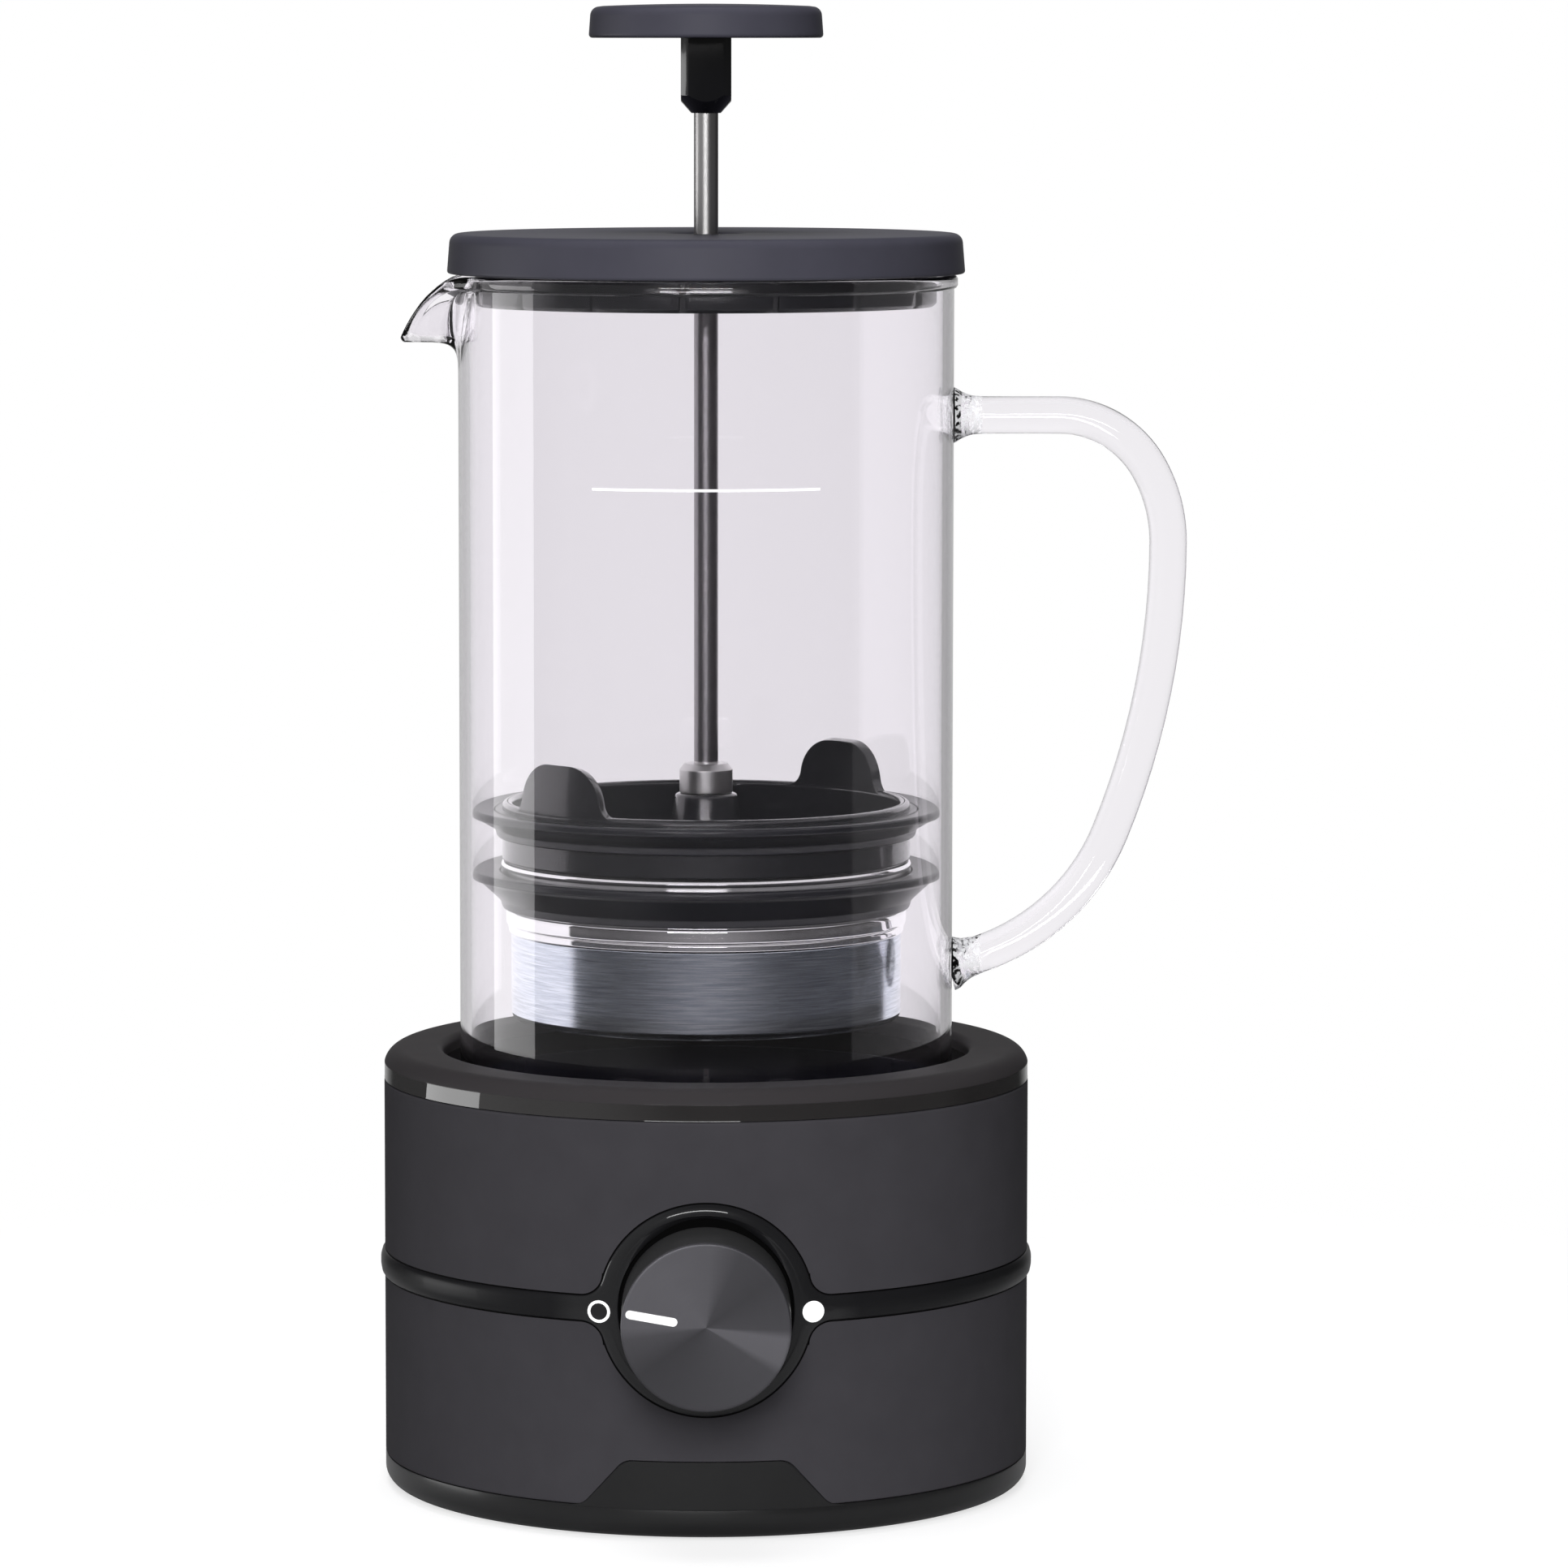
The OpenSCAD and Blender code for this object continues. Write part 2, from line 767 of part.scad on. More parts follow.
module drive_magnets() {
    color("#8f9297")
        for (a = [0, 180])
            rotate(a)
                translate([magnet_ring_r, 0, rotor_z + 1])
                    cylinder(r = drive_magnet_r, h = rotor_t - 0.8);
}

/* ---- Carafe ---- */

// One section of the glass near its rim, as points up its outside, over the bead and down its
// inside. pull is how far the lip is drawn there: 0 on the plain wall, 1 at the lip's tip.
function rim_section(pull) =
    let (out = lip_reach * pull,
         top = rim_z - lip_drop * (1 - sqrt(1 - pull * pull)),
         bead = bead_h - 1.1 * pull,
         rise = top - bead - lip_z,
         rise_in = top - 0.7 - lip_z,
         turns = [0, 8, 20, 32, 45, 58, 70, 82, 90])
    concat(
        [for (t = turns) [glass_r + out * (1 - pow(cos(t), 1 / 3)), lip_z + rise * pow(sin(t), 1 / 3)]],
        [[glass_r + out + bead_proud, top - bead + 0.8], [glass_r + out + bead_proud, top - 0.8],
         [glass_r + out + 0.1, top], [glass_in_r + out + 0.6, top]],
        [for (t = backwards(turns)) [glass_in_r + out * (1 - pow(cos(t), 1 / 3)),
            lip_z + rise_in * pow(sin(t), 1 / 3)]]);

// How far the lip is drawn at an angle from its middle
function lip_pull(a) = abs(a) >= lip_half_angle ? 0 : pow(cos(90 * a / lip_half_angle), 2);

// The glass up to the bead, less the piece of the rim that the lip is drawn from
module carafe_glass() {
    plain = rim_section(0);
    side = lip_cut_angle;
    color("#dfe3e8", 0.35)
        difference() {
            rotate_extrude()
                polygon(concat(
                    [[0, carafe_z]],
                    arc([glass_r - glass_corner, carafe_z + glass_corner], glass_corner, -90, 0, 8),
                    plain,
                    arc([glass_in_r - glass_corner + glass_floor,
                         glass_floor_h + glass_corner - glass_floor],
                        glass_corner - glass_floor, 0, -90, 6),
                    [[0, glass_floor_h]]));
            translate([0, 0, lip_z])
                linear_extrude(height = lip_root + 5)
                    polygon([[0, 0], [-2 * glass_r, 2 * glass_r * tan(side)],
                        [-2 * glass_r, -2 * glass_r * tan(side)]]);
        }
}

// The piece of the rim that is drawn out into the pouring lip: the rim's section is carried
// round and pulled outwards and down on its way past the tip
module carafe_lip() {
    steps = 28;
    n = len(rim_section(0));
    points = [for (i = [0:steps])
        let (a = -lip_cut_angle + 2 * lip_cut_angle * i / steps)
        for (p = rim_section(lip_pull(a)))
            [-p[0] * cos(a), -p[0] * sin(a), p[1]]];
    skin = [for (i = [0:steps - 1], k = [0:n - 1])
        let (q = i * n, w = q + n, m = (k + 1) % n)
        each [[q + k, q + m, w + k], [q + m, w + m, w + k]]];
    // Each cut end is a strip of triangles between the outside and the inside of the section
    strip = [for (k = [0:n / 2 - 2]) let (m = n - 1 - k)
        each [[k, m, m - 1], [k, m - 1, k + 1]]];
    far_strip = [for (t = strip) [t[2] + steps * n, t[1] + steps * n, t[0] + steps * n]];
    color("#dfe3e8", 0.35)
        polyhedron(points = points, faces = concat(skin, strip, far_strip), convexity = 8);
}

// The handle's bends from the top joint to the bottom one: headings in degrees below +X
corner_end = 60;
grip_end = 112;
foot_end = 165;
max_x = glass_r + handle_reach - handle_rod_r;
corner_x = max_x - handle_shoulder_r * (1 - sin(corner_end));
arm_x = corner_x - handle_corner_r * sin(corner_end);
grip_x = max_x - handle_grip_r * (1 - sin(grip_end));
foot_x = glass_r + 3;
handle_foot_r = (grip_x - foot_x) / (sin(grip_end) - sin(foot_end));
arm_z = rim_z - handle_top_drop;

// Points along one bend that starts at p: [x, z, heading]
function bend(p, r, h0, h1, n) =
    [for (i = [1:n]) let (h = h0 + (h1 - h0) * i / n)
        [p[0] + r * (sin(h) - sin(h0)), p[1] + r * (cos(h) - cos(h0)), h]];
function last(path) = path[len(path) - 1];

arm_path = [for (x = [glass_r - 1.2, glass_r + 0.6, glass_r + 1.6, glass_r + 3, glass_r + 5, arm_x])
    [x, arm_z, 0]];
corner_path = bend([arm_x, arm_z], handle_corner_r, 0, corner_end, 8);
shoulder_path = bend(last(corner_path), handle_shoulder_r, corner_end, 90, 5);
grip_path = bend(last(shoulder_path), handle_grip_r, 90, grip_end, 6);
foot_path = bend(last(grip_path), handle_foot_r, grip_end, foot_end, 9);
foot_end_p = last(foot_path);
weld_path = [for (d = [1.2, 2.4, 4.4])
    [foot_end_p[0] + d * cos(foot_end), foot_end_p[1] - d * sin(foot_end), foot_end]];
handle_path = concat(arm_path, corner_path, shoulder_path, grip_path, foot_path, weld_path);

// The rod's radius at a point of the path: it flares where it is welded to the wall
function rod_radius(x) =
    let (d = max(0, min(1, (x - glass_r) / 5))) handle_rod_r + weld_flare * pow(1 - d, 2);

// The glass rod that is welded on as a handle, seated on the wall of the glass
module carafe_handle() {
    sides = 14;
    count = len(handle_path);
    points = [for (p = handle_path, k = [0:sides - 1])
        let (a = 360 * k / sides, r = rod_radius(p[0]))
        [p[0] + r * cos(a) * sin(p[2]), r * sin(a), p[1] + r * cos(a) * cos(p[2])]];
    skin = [for (i = [0:count - 2], k = [0:sides - 1])
        let (q = i * sides, w = q + sides, m = (k + 1) % sides)
        each [[q + k, q + m, w + k], [q + m, w + m, w + k]]];
    ends = [[for (k = [sides - 1:-1:0]) k], [for (k = [0:sides - 1]) (count - 1) * sides + k]];
    color("#dfe3e8", 0.35)
        difference() {
            polyhedron(points = points, faces = concat(skin, ends), convexity = 6);
            translate([0, 0, carafe_z + 5])
                cylinder(r = glass_r, h = carafe_h - 10);
        }
}

/* ---- Stirrer ---- */

// Four-bladed stirrer that turns on the middle of the carafe's floor
module stirrer() {
    magnet_h = stirrer_h - 3;
    color("#f0f0ee")
        difference() {
            union() {
                translate([0, 0, glass_floor_h])
                    cylinder(r = 4, h = stirrer_h);
                translate([0, 0, glass_floor_h + 0.8])
                    cylinder(r = 9, h = stirrer_h - 2);
                for (a = [0, 180])
                    rotate(a) {
                        translate([magnet_ring_r, 0, glass_floor_h + 0.8])
                            cylinder(r = stirrer_magnet_r + 1.6, h = stirrer_h - 1.4);
                        translate([4, -3, glass_floor_h + 0.8])
                            cube([magnet_ring_r - 4, 6, stirrer_h - 2]);
                    }
                for (a = [90, 270])
                    rotate(a)
                        intersection() {
                            translate([4, -1.2, glass_floor_h + 0.8])
                                cube([stirrer_r, 2.4, stirrer_h - 1.4]);
                            cylinder(r = stirrer_r, h = base_h);
                        }
            }
            for (a = [0, 180])
                rotate(a)
                    translate([magnet_ring_r, 0, glass_floor_h + 1.6])
                        cylinder(r = stirrer_magnet_r, h = magnet_h);
        }
}

module stirrer_magnets() {
    color("#8f9297")
        for (a = [0, 180])
            rotate(a)
                translate([magnet_ring_r, 0, glass_floor_h + 1.6])
                    cylinder(r = stirrer_magnet_r, h = stirrer_h - 3);
}

/* ---- Lid ---- */

// The flat lid over the glass rim, hollow under its top
module lid_cap() {
    top_r = lid_r - lid_draft;
    hollow_r = plug_r - 2;
    color("#3c3b3f")
        rotate_extrude()
            polygon(concat([[bush_r, lid_z], [bush_r + 3, lid_z], [bush_r + 3, lid_top - wall],
                [hollow_r, lid_top - wall], [hollow_r, lid_z], [lid_r - 0.6, lid_z],
                [lid_r, lid_z + 0.6]],
                arc([top_r - lid_round, lid_top - lid_round], lid_round, 0, 90, 6),
                [[bush_r, lid_top]]));
}

// The plug under the lid: a closed cup with pouring slots round it
module lid_plug() {
    plug_z = lid_z - plug_h;
    spigot_r_out = plug_r - 2 - fit;
    color("#1d1d1e")
        difference() {
            rotate_extrude()
                polygon([[bush_r, plug_z], [plug_r - 0.8, plug_z], [plug_r, plug_z + 0.8],
                    [plug_r, lid_z], [spigot_r_out, lid_z], [spigot_r_out, lid_z + 3],
                    [spigot_r_out - 1.8, lid_z + 3], [spigot_r_out - 1.8, plug_z + 2],
                    [bush_r + 3, plug_z + 2], [bush_r + 3, lid_z], [bush_r, lid_z]]);
            for (i = [0:plug_slots - 1])
                rotate(360 * (i + 0.75) / plug_slots)
                    translate([plug_r - 1.1, -slot_w / 2, plug_z - 1])
                        cube([3, slot_w, plug_h - 1]);
        }
}

// The bush in the lid that the rod slides in
module rod_bush() {
    color("#2a2a2b")
        tube(rod_r + rod_fit, bush_r, lid_z - plug_h, lid_top);
}

/* ---- Plunger ---- */

// The round knob that the hand pushes down
module plunger_knob() {
    low_r = knob_r;
    top_r = knob_r - 0.5;
    crown = 0.6;
    edge_z = knob_z + knob_h - crown;
    color("#3a393d")
        rotate_extrude()
            polygon(concat([[0, knob_z], [low_r - 0.8, knob_z], [low_r, knob_z + 0.8]],
                arc([top_r - knob_round, edge_z - knob_round], knob_round, 0, 84, 7),
                [[top_r * 0.7, edge_z + crown * 0.55], [top_r * 0.4, edge_z + crown * 0.86],
                 [0, edge_z + crown]]));
}

// The glossy square hub between the knob and the rod, drawn in at its foot
module knob_hub() {
    half = hub_w / 2;
    flat = half - hub_chamfer;
    reach = half * 1.5;
    color("#121213")
        difference() {
            intersection() {
                translate([0, 0, hub_z])
                    linear_extrude(height = hub_h)
                        polygon([[half, -flat], [half, flat], [flat, half], [-flat, half],
                            [-half, flat], [-half, -flat], [-flat, -half], [flat, -half]]);
                rotate_extrude()
                    polygon([[0, hub_z], [rod_r + 0.6, hub_z], [reach, hub_z + reach - rod_r],
                        [reach, knob_z], [0, knob_z]]);
            }
            translate([0, 0, hub_z - 1])
                cylinder(r = rod_r, h = hub_h - 3);
        }
}

module plunger_rod() {
    color("#b9bbbf")
        translate([0, 0, boss_top - 6])
            cylinder(r = rod_r, h = hub_z + hub_h - 4 - boss_top + 6);
}

// The steel collar that clamps the rod to the strainer cap
module rod_collar() {
    color("#c4c6ca")
        rotate_extrude()
            polygon([[rod_r, boss_top], [collar_r, boss_top], [collar_r, collar_top - 1.4],
                [collar_r - 1.1, collar_top], [rod_r, collar_top]]);
}

/* ---- Strainer ---- */

// A finger tab's outline, seen from outside: round on top and hollow where it meets the wall
module finger_outline() {
    top_r = min(9, finger_w / 2 - 1);
    root_r = 4;
    half = finger_w / 2;
    side = concat([[half + root_r, cap_rim_z - 2]],
        arc([half + root_r, cap_rim_z + root_r], root_r, 270, 180, 6),
        arc([half - top_r, cap_rim_z + finger_h - top_r], top_r, 0, 90, 8));
    polygon(concat(side, backwards([for (p = side) [-p[0], p[1]]])));
}

// The black cap on the basket: a ring with two finger tabs, and spokes to the boss in its middle
module strainer_cap() {
    in_r = cap_r - cap_wall;
    color("#19191a")
        difference() {
            union() {
                rotate_extrude()
                    polygon([[spigot_r - 2, cap_z - spigot_h], [spigot_r, cap_z - spigot_h],
                        [spigot_r, cap_z], [cap_r, cap_z], [cap_r, cap_rim_z - 0.5],
                        [cap_r - 0.5, cap_rim_z], [in_r + 0.5, cap_rim_z],
                        [in_r, cap_rim_z - 0.5], [in_r, cap_z + 1.4],
                        [in_r - 3, cap_z + 1.4], [in_r - 3, cap_z], [spigot_r - 2, cap_z]]);
                for (a = [0, 180])
                    intersection() {
                        tube(in_r, cap_r, cap_rim_z - 2, cap_rim_z + finger_h + 1);
                        rotate(finger_angle + 90 + a)
                            front_prism()
                                finger_outline();
                    }
                translate([0, 0, cap_z])
                    cylinder(r1 = 9, r2 = collar_r + 0.6, h = boss_top - cap_z);
                for (i = [0:cap_spokes - 1])
                    rotate(360 * (i + 0.5) / cap_spokes)
                        translate([4, -1.25, cap_z])
                            cube([in_r - 4.5, 2.5, 1.8]);
            }
            translate([0, 0, boss_top - 6])
                cylinder(r = rod_r, h = 10);
        }
}

// The fine steel mesh under the cap's spokes
module cap_mesh() {
    color("#a9abb0")
        translate([0, 0, cap_z - 0.7])
            cylinder(r = spigot_r - 2, h = 0.7);
}

// One wiping seal round a wall of radius r: its foot is at z0, and its lip from z1 up
module wiping_seal(r, z0, z1) {
    rotate_extrude()
        polygon([[r, z0], [r + 1.1, z0 + 0.3], [r + 1.4, z0 + 1.6], [seal_r - 0.3, z1],
            [seal_r, z1 + 0.4], [seal_r, z1 + seal_lip_t - 0.3],
            [seal_r - 0.6, z1 + seal_lip_t], [r + 2.6, z1 + seal_lip_t - 0.6],
            [r, z1 + seal_lip_t - 0.6]]);
}

module upper_seal() {
    color("#28282a")
        wiping_seal(cap_r, cap_rim_z - seal_lip_t - 1.1 - upper_seal_h,
            cap_rim_z - seal_lip_t - 1.1);
}

/* ---- Basket ---- */

// The pressed steel basket for the coffee: rolled rim, swelled shoulder, flange for the mesh
module steel_basket() {
    neck = basket_neck_r;
    shoulder_z = basket_z + shoulder_h;
    swell = basket_r + shoulder_swell;
    color("#a7aab0")
        rotate_extrude()
            polygon([[basket_r - 5, basket_z], [basket_r - 1.2, basket_z],
                [basket_r, basket_z + 1.2], [basket_r, shoulder_z],
                [swell - 0.3, shoulder_z + 1.2], [swell, shoulder_z + 2.6],
                [swell - 0.1, shoulder_z + 4.2], [neck, shoulder_z + 5.2],
                [neck, basket_rim_z - 1.6], [neck + 1.2, basket_rim_z - 1.5],
                [neck + 1.5, basket_rim_z - 0.8], [neck + 1.1, basket_rim_z - 0.1],
                [neck - 0.2, basket_rim_z], [neck - steel_t, basket_rim_z - 0.5],
                [neck - steel_t, shoulder_z + 4.8], [swell - steel_t, shoulder_z + 3.8],
                [swell - steel_t, shoulder_z + 2.4], [basket_r - steel_t, shoulder_z + 0.4],
                [basket_r - steel_t, basket_z + steel_t],
                [basket_r - 5, basket_z + steel_t]]);
}

module basket_mesh() {
    color("#a9abb0")
        translate([0, 0, basket_z + steel_t])
            cylinder(r = basket_r - steel_t, h = 0.7);
}

module lower_seal() {
    color("#28282a")
        wiping_seal(basket_neck_r, band_bottom_z, basket_rim_z - 1.6 - seal_lip_t);
}

top_ring();
well_cup();
well_pad();
upper_shell();
lower_shell();
trim_band();
foot_ring();
base_plate();
non_slip_ring();
base_screws();
motor_bracket();
motor();
motor_screws();
rotary_switch();
circuit_board();
cord_gland();
dial_knob();
dial_face();
dial_pointer();
dial_shaft();
motor_shaft();
rotor_disc();
drive_magnets();
carafe_glass();
carafe_lip();
carafe_handle();
stirrer();
stirrer_magnets();
lid_cap();
lid_plug();
rod_bush();
plunger_knob();
knob_hub();
plunger_rod();
rod_collar();
strainer_cap();
cap_mesh();
upper_seal();
steel_basket();
basket_mesh();
lower_seal();
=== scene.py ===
# %% [markdown]
# # A cold brew coffee maker, dressed
#
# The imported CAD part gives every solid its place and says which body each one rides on. This
# lesson puts finished surfaces over it: moulded plastics with rounded edges, one wall of clear
# glass, turned and brushed steel, soft seals. All lengths below are written in millimetres, as
# on a drawing, and turned into metres when a mesh is made.

# %% Open the frame
import json
from math import asin, atan2, cos, degrees, pi, radians, sin, sqrt, tan

import bpy
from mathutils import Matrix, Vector


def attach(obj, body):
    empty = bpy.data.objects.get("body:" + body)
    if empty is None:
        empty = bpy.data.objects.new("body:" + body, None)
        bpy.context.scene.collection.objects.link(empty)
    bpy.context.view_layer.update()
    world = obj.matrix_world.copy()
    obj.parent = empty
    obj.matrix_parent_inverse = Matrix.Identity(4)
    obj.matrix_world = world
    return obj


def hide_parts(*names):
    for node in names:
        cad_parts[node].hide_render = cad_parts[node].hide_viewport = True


MM = 0.001
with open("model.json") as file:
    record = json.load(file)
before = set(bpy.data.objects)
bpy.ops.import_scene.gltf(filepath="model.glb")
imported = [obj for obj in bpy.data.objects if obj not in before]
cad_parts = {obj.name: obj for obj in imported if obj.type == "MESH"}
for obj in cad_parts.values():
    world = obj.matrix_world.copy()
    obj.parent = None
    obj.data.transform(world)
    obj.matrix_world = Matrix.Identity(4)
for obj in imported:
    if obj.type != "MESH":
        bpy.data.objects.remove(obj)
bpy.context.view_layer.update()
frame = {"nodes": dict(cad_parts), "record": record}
body_of_node = {
    node: body
    for body, nodes in frame["record"]["behaviour"]["bodies"].items()
    for node in nodes
}

# %% [markdown]
# ## Nodes that read like arithmetic
#
# A finish is mostly a few sums: a mask, a wave, a share of noise. Wiring each Math node by hand
# hides them. So a small class wraps a socket, and an operator on it adds the Math node. The same
# class serves shaders and Geometry Nodes, because both trees know the Math node.

# %% Wires and makers


class Wire:
    """A socket whose operators add Math nodes."""

    def __init__(self, maker, socket):
        self.maker, self.socket = maker, socket

    def math(self, operation, *others):
        return self.maker.math(operation, self, *others)

    def __add__(self, other):
        return self.math("ADD", other)

    def __radd__(self, other):
        return self.math("ADD", other)

    def __sub__(self, other):
        return self.math("SUBTRACT", other)

    def __rsub__(self, other):
        return self.maker.math("SUBTRACT", other, self)

    def __mul__(self, other):
        return self.math("MULTIPLY", other)

    def __rmul__(self, other):
        return self.math("MULTIPLY", other)

    def __truediv__(self, other):
        return self.math("DIVIDE", other)

    def __pow__(self, other):
        return self.math("POWER", other)

    def clamped(self):
        """Held between 0 and 1."""
        return self.math("MAXIMUM", 0.0).math("MINIMUM", 1.0)


class Maker:
    """Adds nodes to one tree. Every node comes from node()."""

    def __init__(self, tree):
        self.tree = tree

    def node(self, kind, settings=None, values=None, out=0):
        made = self.tree.nodes.new(kind)
        for key, value in (settings or {}).items():
            if key == "stops":
                set_stops(made.color_ramp, value)
            else:
                setattr(made, key, value)
        for key, value in (values or {}).items():
            self.feed(made.inputs[key], value)
        return Wire(self, made.outputs[out])

    def feed(self, socket, value):
        if isinstance(value, Wire):
            self.tree.links.new(value.socket, socket)
        else:
            socket.default_value = value

    def math(self, operation, *values):
        return self.node("ShaderNodeMath", {"operation": operation}, dict(enumerate(values)))


def set_stops(ramp, stops):
    """Gives a colour ramp its stops: (place, grey level or colour)."""
    while len(ramp.elements) < len(stops):
        ramp.elements.new(0.5)
    for element, (place, colour) in zip(ramp.elements, stops):
        element.position = place
        element.color = rgba(colour)


def rgba(colour):
    if isinstance(colour, (int, float)):
        colour = (colour,) * 3
    return tuple(colour) + (1.0,)


class Finish(Maker):
    """One material. The Principled shader's plain values are given when it is made."""

    def __init__(self, name, colour, roughness, **plain):
        self.material = bpy.data.materials.new(name)
        self.material.use_nodes = True
        super().__init__(self.material.node_tree)
        self.surface = self.tree.nodes["Principled BSDF"]
        self.colour, self.roughness = colour, roughness
        self.set("Base Color", rgba(colour))
        self.set("Roughness", roughness)
        for key, value in plain.items():
            self.set(key.replace("_", " "), value)

    def set(self, socket, value):
        self.feed(self.surface.inputs[socket], value)

    def shader_mix(self, factor, first, second):
        """A Mix Shader: first where factor is 0, second where it is 1."""
        return self.node("ShaderNodeMixShader", values={0: factor, 1: first, 2: second})

    def show(self, shader):
        """Makes this shader the material's surface."""
        self.feed(self.tree.nodes["Material Output"].inputs["Surface"], shader)

    def place(self):
        """Object coordinates, which are the row's own, in metres."""
        return self.node("ShaderNodeTexCoord", out=3)

    def xyz(self):
        """The three coordinates in millimetres."""
        split = self.node("ShaderNodeSeparateXYZ", values={0: self.place()}).socket.node
        return [Wire(self, socket) * 1000 for socket in split.outputs]

    def noise(self, grain, vector=None, detail=2.0, roughness=0.5):
        """Soft noise from 0 to 1, with patches about grain millimetres across."""
        values = {"Vector": vector or self.place(), "Scale": 1 / (grain * MM),
                  "Detail": detail, "Roughness": roughness}
        return self.node("ShaderNodeTexNoise", values=values)

    def mix(self, factor, low, high):
        """A colour between low and high."""
        low, high = (c if isinstance(c, Wire) else rgba(c) for c in (low, high))
        return self.node("ShaderNodeMix", {"data_type": "RGBA"},
                         {0: factor, 6: low, 7: high}, out=2)

    def bump(self, height, depth, strength=1.0, under=None):
        """Presses height, from 0 to 1, into the surface to depth millimetres."""
        values = {"Height": height, "Distance": depth * MM, "Strength": strength}
        if under:
            values["Normal"] = under
        return self.node("ShaderNodeBump", values=values)


finishes = {}


def keep(slot, finish):
    """Files a finish under the record's material slot."""
    finishes[slot] = finish.material
    print("finish:", slot)
    return finish


# %% [markdown]
# ## Moulded plastics
#
# The housing, lid and knob are injection moulded and spark textured: a fine matt grain that
# breaks up every highlight. The trim and the hub are polished in the mould, with only a slow
# waviness. Both are the same recipe with other numbers: a little mottling in the colour, slow
# patches in the roughness, and grain as a bump.

# %% The recipe for a plastic
PATCH, SWELL = 9.0, 14.0
LIGHTER, DARKER = 1.10, 0.90


def recolour(finish, mask, colour):
    """Mixes another colour into a finish where mask is 1."""
    before = Wire(finish, finish.surface.inputs["Base Color"].links[0].from_socket)
    finish.set("Base Color", finish.mix(mask, before, colour))


def moulded(slot, colour, roughness, grain, depth, wave=0.0, patch=0.06, **plain):
    """A plastic whose grain and slow waves are so many millimetres wide and deep."""
    finish = Finish(slot, colour, roughness, **plain)
    patches = finish.noise(PATCH, detail=3.0)
    light = tuple(min(1.0, c * LIGHTER + 0.001) for c in colour)
    dark = tuple(c * DARKER for c in colour)
    finish.set("Base Color", finish.mix(patches, dark, light))
    finish.set("Roughness", roughness - patch / 2 + patch * patches)
    normal = finish.bump(finish.noise(grain, detail=1.0), depth)
    if wave:
        normal = finish.bump(finish.noise(SWELL, detail=0.0), wave, under=normal)
    finish.set("Normal", normal)
    return keep(slot, finish)


# %% [markdown]
# Two mouldings are matt and polished at once. The top ring is matt above and carries a polished
# strip round its lower edge, and the trim is at its glossiest round the dial. The colour and the
# grain could be split between two pieces, but one piece with a mask has no false seam: the mask is
# a ramp on the height, or on the distance from the middle, and it sets the clear coat. On the ring
# it also lightens the matt part, partly its own satin tone and partly painted sheen.

# %% Housing, top ring and trim
STRIP_TOP, GLOSS_HALF = 93.9, 33

housing = moulded("housing", (0.048, 0.046, 0.052), 0.60, 0.30, 0.006, Specular_IOR_Level=0.03)

ring = moulded("gloss_ring", (0.015, 0.0135, 0.0135), 0.55, 0.35, 0.0004, wave=0.003,
               Specular_IOR_Level=0.10, Coat_Roughness=0.02, Coat_IOR=1.8)
polished = ((STRIP_TOP - ring.xyz()[2]) * 4).clamped()
ring.set("Coat Weight", polished * 0.96)
# The matt part above the strip is lighter: partly the satin's own tone, partly painted sheen of the
# pale wall behind.
recolour(ring, 1 - polished, (0.035, 0.032, 0.034))

trim_black = moulded("trim", (0.008, 0.008, 0.009), 0.35, 0.35, 0.0003, wave=0.004,
                     Specular_IOR_Level=0.15, Coat_Roughness=0.02)
near_dial = ((GLOSS_HALF - trim_black.math("ABSOLUTE", trim_black.xyz()[0])) * 0.2).clamped()
trim_black.set("Coat Weight", near_dial * 0.80 + 0.05)

# %% [markdown]
# The other plastics are one line each. The numbers after the colour are the roughness, then how
# wide and how deep the grain is. The printed marks and the pointer carry painted light: they glow a
# little, so that white ink in a dark place still reads as white.

# %% The other plastics
moulded("well_black", (0.016, 0.016, 0.021), 0.12, 0.35, 0.0006, wave=0.01)
moulded("foot_black", (0.010, 0.010, 0.0105), 0.34, 0.30, 0.002, Specular_IOR_Level=0.3,
        Coat_Weight=0.25, Coat_Roughness=0.15)
moulded("under_black", (0.016, 0.016, 0.017), 0.55, 0.40, 0.01)
moulded("dial_black", (0.032, 0.032, 0.033), 0.36, 0.30, 0.003)
moulded("lid_charcoal", (0.052, 0.051, 0.068), 0.48, 0.28, 0.007, Specular_IOR_Level=0.30)
moulded("plug_black", (0.008, 0.008, 0.010), 0.24, 0.30, 0.003)
moulded("hub_black", (0.003, 0.003, 0.004), 0.12, 0.40, 0.0005, wave=0.006, Coat_Weight=0.5,
        Coat_Roughness=0.04)
moulded("strainer_black", (0.012, 0.012, 0.014), 0.24, 0.30, 0.002, wave=0.01, Coat_Weight=0.6,
        Coat_Roughness=0.06)
moulded("seal_black", (0.010, 0.010, 0.013), 0.30, 0.45, 0.003, wave=0.006)
moulded("silicone", (0.022, 0.022, 0.023), 0.62, 0.50, 0.008, Sheen_Weight=0.2)
moulded("switch_white", (0.74, 0.71, 0.62), 0.45, 0.40, 0.004)
moulded("stirrer_white", (0.80, 0.80, 0.78), 0.35, 0.40, 0.003)
moulded("board_green", (0.03, 0.13, 0.05), 0.35, 0.60, 0.01)
# Painted light: the pointer and the prints glow faintly.
moulded("pointer_white", (0.92, 0.92, 0.92), 0.40, 0.30, 0.002, Emission_Color=rgba(1.0),
        Emission_Strength=0.15)
moulded("print_white", (0.93, 0.93, 0.94), 0.45, 0.25, 0.002, Emission_Color=rgba(1.0),
        Emission_Strength=0.35)

# %% [markdown]
# ## Metals
#
# The rod, the collar and the basket are stainless steel, polished with a belt while they turn,
# so the scratches run round them. Seen as noise, that is a pattern drawn out along the turn and
# very fine along the axis.

# %% Steel
SCRATCH_REACH = 12.0


